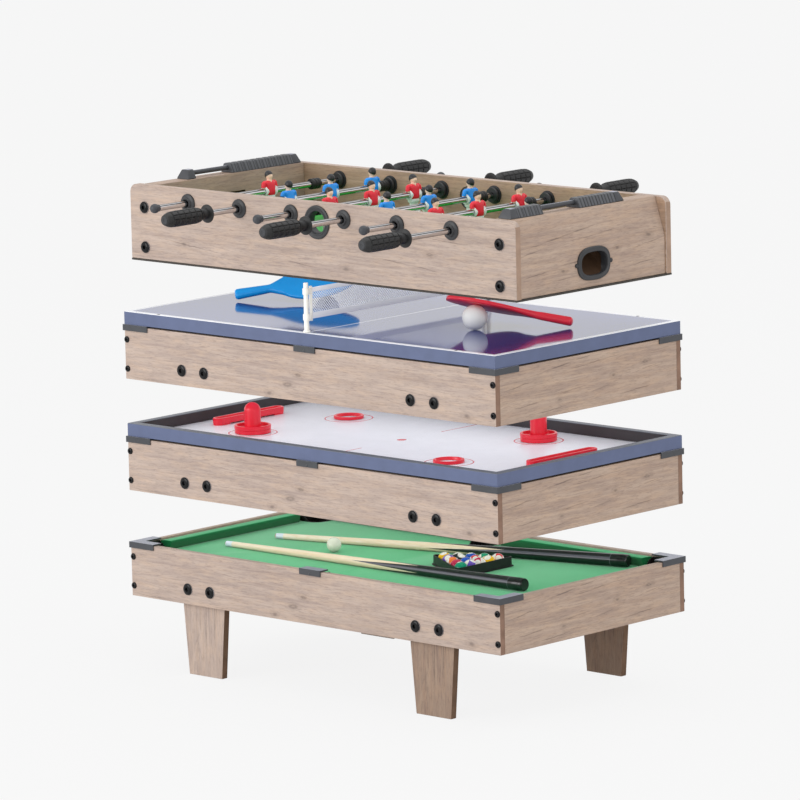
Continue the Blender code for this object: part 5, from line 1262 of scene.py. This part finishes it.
def cabinet_walls():
    """Long walls and end blocks, each made once and turned round for the other side."""
    front = faces_along(moved(long_wall(), place(0, -CABINET_Y)), 0, 3)
    coats = [OAK_CABINET, OAK_INSIDE, DEEP_BLACK, PALE_EDGE]
    for name, turn in (("front", 0.0), ("back", math.pi)):
        put(f"cabinet_{name}_wall", moved(front, place(0, 0, FOOSBALL, turn)), coats, "foosball",
            [f"foosball_{name}_panel"], origin=(0, 0, FOOSBALL))
    right, ring, grain_low = end_block(), outlet_ring(), 0.012
    for name, turn in (("right", 0.0), ("left", math.pi)):
        at = place(0, 0, FOOSBALL, turn)
        put(f"cabinet_{name}_end", moved(right, at), [OAK_Y, TUNNEL_SHADE, RAW_EDGE], "foosball",
            [f"foosball_{name}_end"], edge=BOARD_EDGE, origin=(0, 0, FOOSBALL + grain_low))
        put(f"{name}_outlet_ring", moved(ring, at), [RUBBER_GREY], "foosball", angle=45)


def pitch_and_base():
    """Playing field with its white lines, and the board under the cabinet."""
    x, y = CABINET_INNER_X - GAP, CABINET_INNER_Y - GAP
    put("pitch", prism(rectangle(x, y), PITCH_TOP - 0.006, PITCH_TOP, THIN_EDGE), [PITCH], "foosball",
        ["foosball_field"])
    base = prism(rectangle(CABINET_X, CABINET_Y), FOOSBALL, FOOSBALL + 0.003, FINE_EDGE)
    put("cabinet_base", base, [DARK_BOARD], "foosball", ["foosball_bottom"])
    half, clear, over = 0.0015, 0.002, 0.00001
    low = PITCH_TOP + over
    lines = [block((-half, -y + clear, low), (half, y - clear, low + PRINT_THICK)),
             moved(printed_ring(0.0485, 0.0515), place(0, 0, low))]
    for sign in SIGNS:
        for depth, reach in ((0.110, 0.105), (0.050, 0.062)):
            line = sign * (x - depth)
            lines.append(block((line - half, -reach, low), (line + half, reach, low + PRINT_THICK)))
            ends = sorted((line, sign * (x - clear)))
            lines += [block((ends[0], side * reach - half, low + over),
                            (ends[1], side * reach + half, low + over + PRINT_THICK)) for side in SIGNS]
    put("pitch_lines", together(lines), [LINE_WHITE], "foosball")


def cabinet_fittings():
    """Rod bearings, ball-entry rings and screw heads of both long walls."""
    out = outward("Y", -1)
    lift = place(0, 0, FOOSBALL)
    bushes = together([moved(rod_bush(), place(x, -CABINET_Y, ROD_HIGH) @ out) for x in ROD_PLACES])
    ring = moved(entry_ring(), place(0, -CABINET_Y, ENTRY_HIGH) @ out)
    for name, one in (("rod_bushes", bushes), ("entry_rings", ring)):
        put(name, moved(both_sides(one), lift), [RUBBER_GREY], "foosball", angle=40)
    fasteners("cabinet_screws", bolt(0.0096, 0.0044, 0.003, 0.010, 0.0036),
              [(side * (CABINET_X - 0.033), z) for side in SIGNS for z in (0.023, 0.088)],
              CABINET_Y, FOOSBALL, "foosball", [GLOSS_BLACK, RIM_HIGHLIGHT])


def roof(half_foot, half_top, high, length, edge=0.0008):
    """Roof-shaped block along Y, centred, its foot at z = 0."""
    outline = soften([(-half_foot, 0), (half_foot, 0), (half_top, high), (-half_top, high)], edge, 3)
    return moved(prism(outline, -length / 2, length / 2, FINE_EDGE), Matrix.Rotation(math.pi / 2, 4, "X"))


def scorer(x, y):
    """Bar between two roof-shaped blocks whose outer ends slope by 6 mm over their height."""
    high, reach, radius = 0.015, 0.1235, 0.0040
    points, *rest = roof(0.014, 0.007, high, 0.018, 0.0024)
    points[:, 1] += np.where(points[:, 1] < 0, 0.006 * points[:, 2] / high, 0)
    end = (points, *rest)
    bar = lathe([(0, -reach), (radius, -reach), (radius, reach), (0, reach)], 20)
    parts = [moved(end, place(0, -reach)), moved(end, place(0, reach, 0, math.pi)),
             moved(bar, place(0, 0, 0.008) @ outward("Y", 1))]
    return moved(together(parts), place(x, y, CABINET_RIM))


def bead_row(count):
    """Scoring tiles side by side along +Y from zero, each with a raised face."""
    over = 0.0001
    tile = together([roof(0.014, 0.0072, 0.0146, 0.0138, 0.0012),
                     moved(roof(0.0124, 0.0064, 0.0150, 0.0106, 0.0010), place(0, 0, over))])
    return together([moved(tile, place(0, 0.007 + number * BEAD_STEP, over)) for number in range(count)])


def scorers():
    """Scorer bars on the end blocks and three groups of tiles; each group starts from an end of its bar."""
    put("scorer_rails", together([scorer(-SCORER_X, SCORER_Y), scorer(SCORER_X, -SCORER_Y)]), [CAP_BLACK],
        "foosball", angle=30)
    block_long = 0.018
    far, near = SCORER_HALF - block_long, -SCORER_HALF + block_long + 0.0004
    for node, count, x, y in (("left", 10, -SCORER_X, SCORER_Y + far - 10 * BEAD_STEP),
                              ("near", 4, SCORER_X, near - SCORER_Y),
                              ("far", 6, SCORER_X, far - 6 * BEAD_STEP - SCORER_Y)):
        put(f"score_tiles_{node}", moved(bead_row(count), place(x, y, CABINET_RIM)), [TILE_BLACK],
            f"beads_{node}", [f"scorer_beads_{node}"], angle=30)


# Rods and players

def tube(points, radii, sides=16, flat=1.0):
    """Round limb along a line: at each point a circle across it, of its own radius, one way times flat."""
    points, radii = np.array(points, float), np.array(radii, float)
    along = np.gradient(points, axis=0)
    along /= np.linalg.norm(along, axis=1, keepdims=True)
    side = np.cross(along, (1.0, 0.0, 0.0))
    side /= np.linalg.norm(side, axis=1, keepdims=True)
    up = np.cross(side, along)
    turn = np.linspace(0, 2 * math.pi, sides, endpoint=False)[None, :, None]
    circle = np.cos(turn) * side[:, None] + flat * np.sin(turn) * up[:, None]
    return skin(points[:, None] + radii[:, None, None] * circle)


def loft(sections, sides=28, power=2.5):
    """Upright body: at each height a rounded square |x/a|^p + |y/b|^p = 1, moved to its own centre x."""
    turn = np.linspace(0, 2 * math.pi, sides, endpoint=False)
    c, s = np.cos(turn), np.sin(turn)
    cx, cy = np.sign(c) * np.abs(c) ** (2 / power), np.sign(s) * np.abs(s) ** (2 / power)
    return skin(np.array([np.column_stack([shift + a * cx, b * cy, np.full(sides, z)])
                          for z, a, b, shift in sections]))


def egg(centre, radii):
    """Ellipsoid of three radii about a centre."""
    return moved(ball(1.0, 20, 32), place(*centre) @ Matrix.Diagonal((*radii, 1)))


def player_body():
    """Shirt: torso and short sleeves."""
    torso = loft([(-0.0066, 0.0076, 0.0086, 0), (-0.0054, 0.0086, 0.0094, 0), (-0.0020, 0.0090, 0.0098, 0),
                  (0.0020, 0.0088, 0.0098, 0), (0.0055, 0.0080, 0.0102, 0.0001),
                  (0.0090, 0.0072, 0.0110, 0.0002), (0.0122, 0.0066, 0.0120, 0.0003),
                  (0.0144, 0.0058, 0.0122, 0), (0.0158, 0.0050, 0.0104, -0.0002),
                  (0.0166, 0.0044, 0.0076, -0.0003), (0.0170, 0.0036, 0.0050, -0.0002)])
    sleeves = [tube([(0, s * 0.0100, 0.0146), (0.0001, s * 0.0128, 0.0126), (0.0004, s * 0.0138, 0.0092),
                     (0.0008, s * 0.0136, 0.0062)], [0.0030, 0.0036, 0.0035, 0.0037], flat=1.1)
               for s in SIGNS]
    return [torso, *sleeves]


def player_skin():
    """Hands, neck, the V of the collar, and a plain head with nose and ears."""
    hands = [tube([(0.0008, s * 0.0134, 0.0062), (0.0016, s * 0.0130, 0.0030), (0.0024, s * 0.0124, 0.0010)],
                  [0.0026, 0.0022, 0.0012], 14) for s in SIGNS]
    neck = tube([(0.0004, 0, 0.0150), (0.0004, 0, 0.0215)], [0.0042, 0.0040])
    collar = tube([(0.0050, 0, 0.0130), (0.0030, 0, 0.0168)], [0.0008, 0.0028], 12)
    head = egg((0.0004, 0, 0.0248), (0.0060, 0.0053, 0.0074))
    nose = egg((0.0062, 0, 0.0242), (0.0010, 0.0009, 0.0016))
    ears = [egg((0.0, s * 0.0053, 0.0242), (0.0010, 0.0006, 0.0014)) for s in SIGNS]
    return [*hands, neck, collar, head, nose, *ears]


def player_hair():
    """Shell over the head, open at the face: a sphere's cap outside and a smaller one inside, tilted back."""
    shell = lathe([(math.sin(b), math.cos(b)) for b in np.linspace(0, 1.72, 15)]
                  + [(0.9 * math.sin(b), 0.9 * math.cos(b)) for b in np.linspace(1.66, 0, 15)], 32)
    return moved(shell, place(-0.0004, 0, 0.0256) @ Matrix.Rotation(-0.48, 4, "Y")
                 @ Matrix.Diagonal((0.0070, 0.0063, 0.0078, 1)))


def player_lower():
    """Hub on the rod, shorts, legs side by side and the square kicking foot."""
    hub = lathe(soften([(0.0052, -0.0128), (0.0074, -0.0128), (0.0086, -0.0116), (0.0086, -0.0108),
                        (0.0070, -0.0096), (0.0070, 0.0096), (0.0086, 0.0108), (0.0086, 0.0116),
                        (0.0074, 0.0128), (0.0052, 0.0128)], 0.0005, 2), 36, ring=True)
    shorts = loft([(-0.0066, 0.0080, 0.0094, 0), (-0.0090, 0.0082, 0.0098, 0.0001),
                   (-0.0110, 0.0076, 0.0098, 0.0002), (-0.0128, 0.0064, 0.0092, 0.0003),
                   (-0.0136, 0.0052, 0.0080, 0.0003)])
    shins = loft([(-0.0120, 0.0050, 0.0082, 0.0002), (-0.0170, 0.0046, 0.0078, 0.0004),
                  (-0.0225, 0.0042, 0.0080, 0.0004), (-0.0262, 0.0046, 0.0088, 0.0004),
                  (-0.0275, 0.0060, 0.0096, 0.0004)])
    foot = loft([(-0.0268, 0.0068, 0.0098, 0), (-0.0280, 0.0082, 0.0103, 0), (-0.0330, 0.0088, 0.0104, 0),
                 (-0.0362, 0.0084, 0.0102, 0), (-0.0375, 0.0066, 0.0092, 0)], power=5)
    return [moved(hub, outward("Y", 1)), shorts, shins, foot]


def player():
    """Moulded figure facing +X, its rod along Y; the finishes are shirt, skin, hair and white."""
    return together([*player_body(), marked(together(player_skin()), 1), marked(player_hair(), 2),
                     marked(together(player_lower()), 3)])


def grip():
    """Handle along +Z from its collar: r(z, a) less a groove wherever a ring or a lengthwise furrow passes.

    Furrow depth = 1.8 mm * max(ring(z), 0.7 line(a)), with ring and line narrow bumps at even spacing."""
    first, last, pitch, sides, furrows = 0.0235, 0.0865, 0.0126, 80, 10
    z = np.concatenate([[0.0, 0.0004, 0.0012, 0.0026, 0.0036, 0.0040, 0.0046, 0.0060, 0.012, 0.0165],
                        np.linspace(0.0185, 0.0225, 4), np.linspace(first, last, 106),
                        [0.0880, 0.0900, 0.0925, 0.0945, 0.0955, 0.0963, 0.0968, 0.0970, 0.0970]])
    base = np.interp(z, [0.0, 0.0004, 0.0012, 0.0026, 0.0036, 0.0040, 0.0046, 0.0165, 0.0225, 0.030, 0.075,
                         last, 0.0925, 0.0955, 0.0968, 0.0970],
                     [0.0120, 0.0138, 0.0148, 0.0148, 0.0136, 0.0105, 0.0088, 0.0086, 0.0118, 0.0129, 0.0130,
                      0.0124, 0.0104, 0.0090, 0.0084, 0.0078])
    turn = np.linspace(0, 2 * math.pi, sides, endpoint=False)
    phase = np.abs(((z - first) / pitch + 0.5) % 1 - 0.5) * pitch
    ring = np.clip(1 - phase / 0.0014, 0, 1)
    line = np.clip(1 - np.abs((turn / (2 * math.pi) * furrows + 0.5) % 1 - 0.5) / 0.09, 0, 1)
    inside = ((z > first - 0.0005) & (z < last + 0.0007)).astype(float)
    r = base[:, None] - 0.0018 * np.maximum(ring[:, None], 0.7 * line) * inside[:, None]
    r[-1] = 0.0
    r = np.concatenate([np.full((1, sides), ROD_RADIUS + GAP), r])
    z = np.concatenate([[0.0], z])[:, None]
    rows = np.stack(np.broadcast_arrays(r * np.cos(turn), r * np.sin(turn), z), axis=-1)
    plug = lathe([(0, 0.0966), (0.0062, 0.0966), (0.0066, 0.0974), (0.0060, 0.0980), (0.0032, 0.0980),
                  (0.0026, 0.0974), (0, 0.0972)], 40)
    return together([skin(rows, ends=False), marked(plug, 1)])


def rod_bumper():
    """Ribbed rubber sleeve along +Z: three ribs with shallow grooves between."""
    rib, groove, step, bore, long = 0.0090, 0.0076, 0.0066, ROD_RADIUS - 0.0001, 0.020
    profile = [(bore, 0.0), (groove, 0.0)]
    for number in range(3):
        low = number * step + 0.0003
        profile += [(rib - 0.0006, low), (rib, low + 0.0007), (rib, low + step - 0.0017),
                    (rib - 0.0006, low + step - 0.0010), (groove, low + step - 0.0006)]
    return lathe([*profile, (groove, long), (bore, long)], 36, ring=True)


def stub_cap():
    """Rounded rubber cap along +Z over a rod's end."""
    radius, high = 0.0077, 0.0080
    dome = [(radius * math.cos(a), high + high * math.sin(a)) for a in np.linspace(-0.8, math.pi / 2, 18)]
    return lathe([(0.0053, 0.0), (0.0058, 0.0), *dome], 40)


def rods():
    """Six rods with players, handles and end caps; every other handle stands at the front."""
    man, handle, cap, bumper = player(), grip(), stub_cap(), rod_bumper()
    handle_start, stub_start = CABINET_Y + 0.100, CABINET_Y + 0.088 - 0.016
    stub_end, handle_end = -stub_start - 0.0115, handle_start + 0.079
    steel = lathe([(0, stub_end), (ROD_RADIUS, stub_end), (ROD_RADIUS, handle_end), (0, handle_end)], 40)
    front, back = outward("Y", -1), outward("Y", 1)
    for number, (x, offset) in enumerate(zip(ROD_PLACES, ROD_OFFSETS)):
        word = f"rod_{number + 1}"
        team, slider = f"{word}_team", f"{word}_slider"
        odd = number % 2 == 1
        to_handle, to_stub = (front, back) if odd else (back, front)
        shirt, slot, facing = (SHIRT_BLUE, "blue_player", math.pi) if odd else (SHIRT_RED, "red_player", 0.0)
        men, bumper_start = (1, 0.0965) if number in (0, ROD_COUNT - 1) else (3, 0.112)
        at = place(x, offset, FOOSBALL + ROD_HIGH)
        put(f"{word}_bar", moved(steel, at @ to_handle), [STEEL], team, [word], angle=40)
        bumpers = together([moved(bumper, at @ side @ place(0, 0, bumper_start))
                            for side in (to_handle, to_stub)])
        put(f"{word}_bumpers", bumpers, [DEEP_BLACK], team, angle=30)
        squad = together([moved(man, place(0, (step - (men - 1) / 2) * MEN_STEP, 0, facing))
                          for step in range(men)])
        put(f"{word}_players", moved(squad, at), [shirt, SKIN, HAIR, HUB_WHITE], team, angle=50)
        put(f"{word}_grip", moved(handle, at @ to_handle @ place(0, 0, handle_start)),
            [DEEP_BLACK, PLUG_GREY], team, [f"{word}_handle"], angle=40)
        put(f"{word}_end_cap", moved(cap, at @ to_stub @ place(0, 0, stub_start)), [SATIN_BLACK], slider,
            [f"{word}_cap"], angle=50)


# Studio

def looked_at(tree):
    """1 for what the camera sees straight, mirrored or through glass, 0 for light that falls on things."""
    path = tree.node("ShaderNodeLightPath").outputs
    seen = tree.sum("MAXIMUM", path["Is Camera Ray"], path["Is Glossy Ray"])
    return tree.sum("MAXIMUM", seen, path["Is Transmission Ray"])


def two_ways(owner, end, share, first, second):
    """Gives a material or world two shaders, each a node's kind and values, the second for what is seen."""
    owner.use_nodes = True
    owner.node_tree.nodes.clear()
    tree = Tree(owner.node_tree)
    both = {1: tree.node(*first).outputs[0], 2: tree.node(*second).outputs[0]}
    mixed = tree.node("ShaderNodeMixShader", {"Fac": tree.product(looked_at(tree), share), **both})
    tree.node(end, {"Surface": mixed.outputs[0]})


def room():
    """Pale floor and surroundings, which look the same in the picture."""
    pale, size, low = tint(247, 247, 247), 60.0, -0.0005
    mesh = bpy.data.meshes.new("floor")
    mesh.from_pydata([(x, y, low) for x, y in rectangle(size, size)], [], [(0, 1, 2, 3)])
    coat = bpy.data.materials.new("floor_pale")
    two_ways(coat, "ShaderNodeOutputMaterial", 0.94,
             ("ShaderNodeBsdfDiffuse", {"Color": tint(236, 236, 236)}),
             ("ShaderNodeEmission", {"Color": pale, "Strength": 1.0}))
    mesh.materials.append(coat)
    floor = bpy.data.objects.new("floor", mesh)
    bpy.context.scene.collection.objects.link(floor)
    world = bpy.data.worlds.new("pale_room")
    bpy.context.scene.world = world
    two_ways(world, "ShaderNodeOutputWorld", 1.0,
             ("ShaderNodeBackground", {"Color": (1.0, 1.0, 1.0, 1.0), "Strength": 0.95}),
             ("ShaderNodeBackground", {"Color": pale, "Strength": 1.0}))
    bpy.context.scene.view_settings.view_transform = "Standard"


def lamp(name, power, wide, deep=None):
    """Area lamp, square unless it has its own depth."""
    made = bpy.data.lights.new(name, "AREA")
    made.energy, made.size = power, wide
    if deep:
        made.shape, made.size_y = "RECTANGLE", deep
    item = bpy.data.objects.new(name, made)
    bpy.context.scene.collection.objects.link(item)
    return item


def lamps():
    """Three soft lamps round the stack, and an unseen one under each floating tier to light the one below."""
    for name, where, power, wide in (("key", (-1.2, -3.2, 1.5), 46.0, 2.2),
                                     ("fill", (3.4, -1.0, 0.9), 10.0, 2.0),
                                     ("top", (0.2, 0.6, 3.4), 22.0, 2.4)):
        item = lamp(name, power, wide)
        item.location = where
        item.rotation_euler = (Vector((0, 0, 0.45)) - Vector(where)).to_track_quat("-Z", "Y").to_euler()
    under, margin = 0.002, 0.06
    for name, tier, power in (("over_pool", HOCKEY, 0.64), ("over_hockey", TENNIS, 0.8),
                              ("over_tennis", FOOSBALL, 0.6)):
        item = lamp(name, power, LENGTH - margin, WIDTH - margin)
        item.location = (0, 0, tier - under)
        item.visible_camera = False
        item.visible_glossy = False


def camera():
    """Camera at the photograph's angle: a long lens 10 m from the stack's middle, rolled by 1.3 degrees."""
    azimuth, elevation, roll = (math.radians(a) for a in (43.249, 9.324, -1.301))
    distance, aim = 10.0, Vector((-0.00174, 0.0, 0.45063))
    flat = math.cos(elevation)
    back = Vector((math.sin(azimuth) * flat, -math.cos(azimuth) * flat, math.sin(elevation)))
    right = Vector((math.cos(azimuth), math.sin(azimuth), 0.0))
    up = back.cross(right)
    c, s = math.cos(roll), math.sin(roll)
    turned = Matrix((c * right + s * up, c * up - s * right, back)).transposed().to_4x4()
    lens = bpy.data.cameras.new("camera")
    lens.lens, lens.sensor_width, lens.clip_end = 279.7875, 36.0, 200.0
    item = bpy.data.objects.new("camera", lens)
    item.matrix_world = Matrix.Translation(aim + back * distance) @ turned
    bpy.context.scene.collection.objects.link(item)
    bpy.context.scene.camera = item


game_box("pool", POOL, "base", WALL + GAP + LEG_THICK + BOLT_END)
game_box("hockey", HOCKEY, "hockey", WALL + BOLT_END)
game_box("tennis", TENNIS, "tennis", WALL + BOLT_END)
legs()
pool_bed()
cushions_and_pockets()
cues()
pool_balls()
hockey_board()
hockey_prints()
goal_bars()
pushers_and_pucks()
tennis_board()
net_threads()
net_bands()
net_posts()
paddles()
cabinet_walls()
pitch_and_base()
cabinet_fittings()
scorers()
rods()
room()
lamps()
camera()
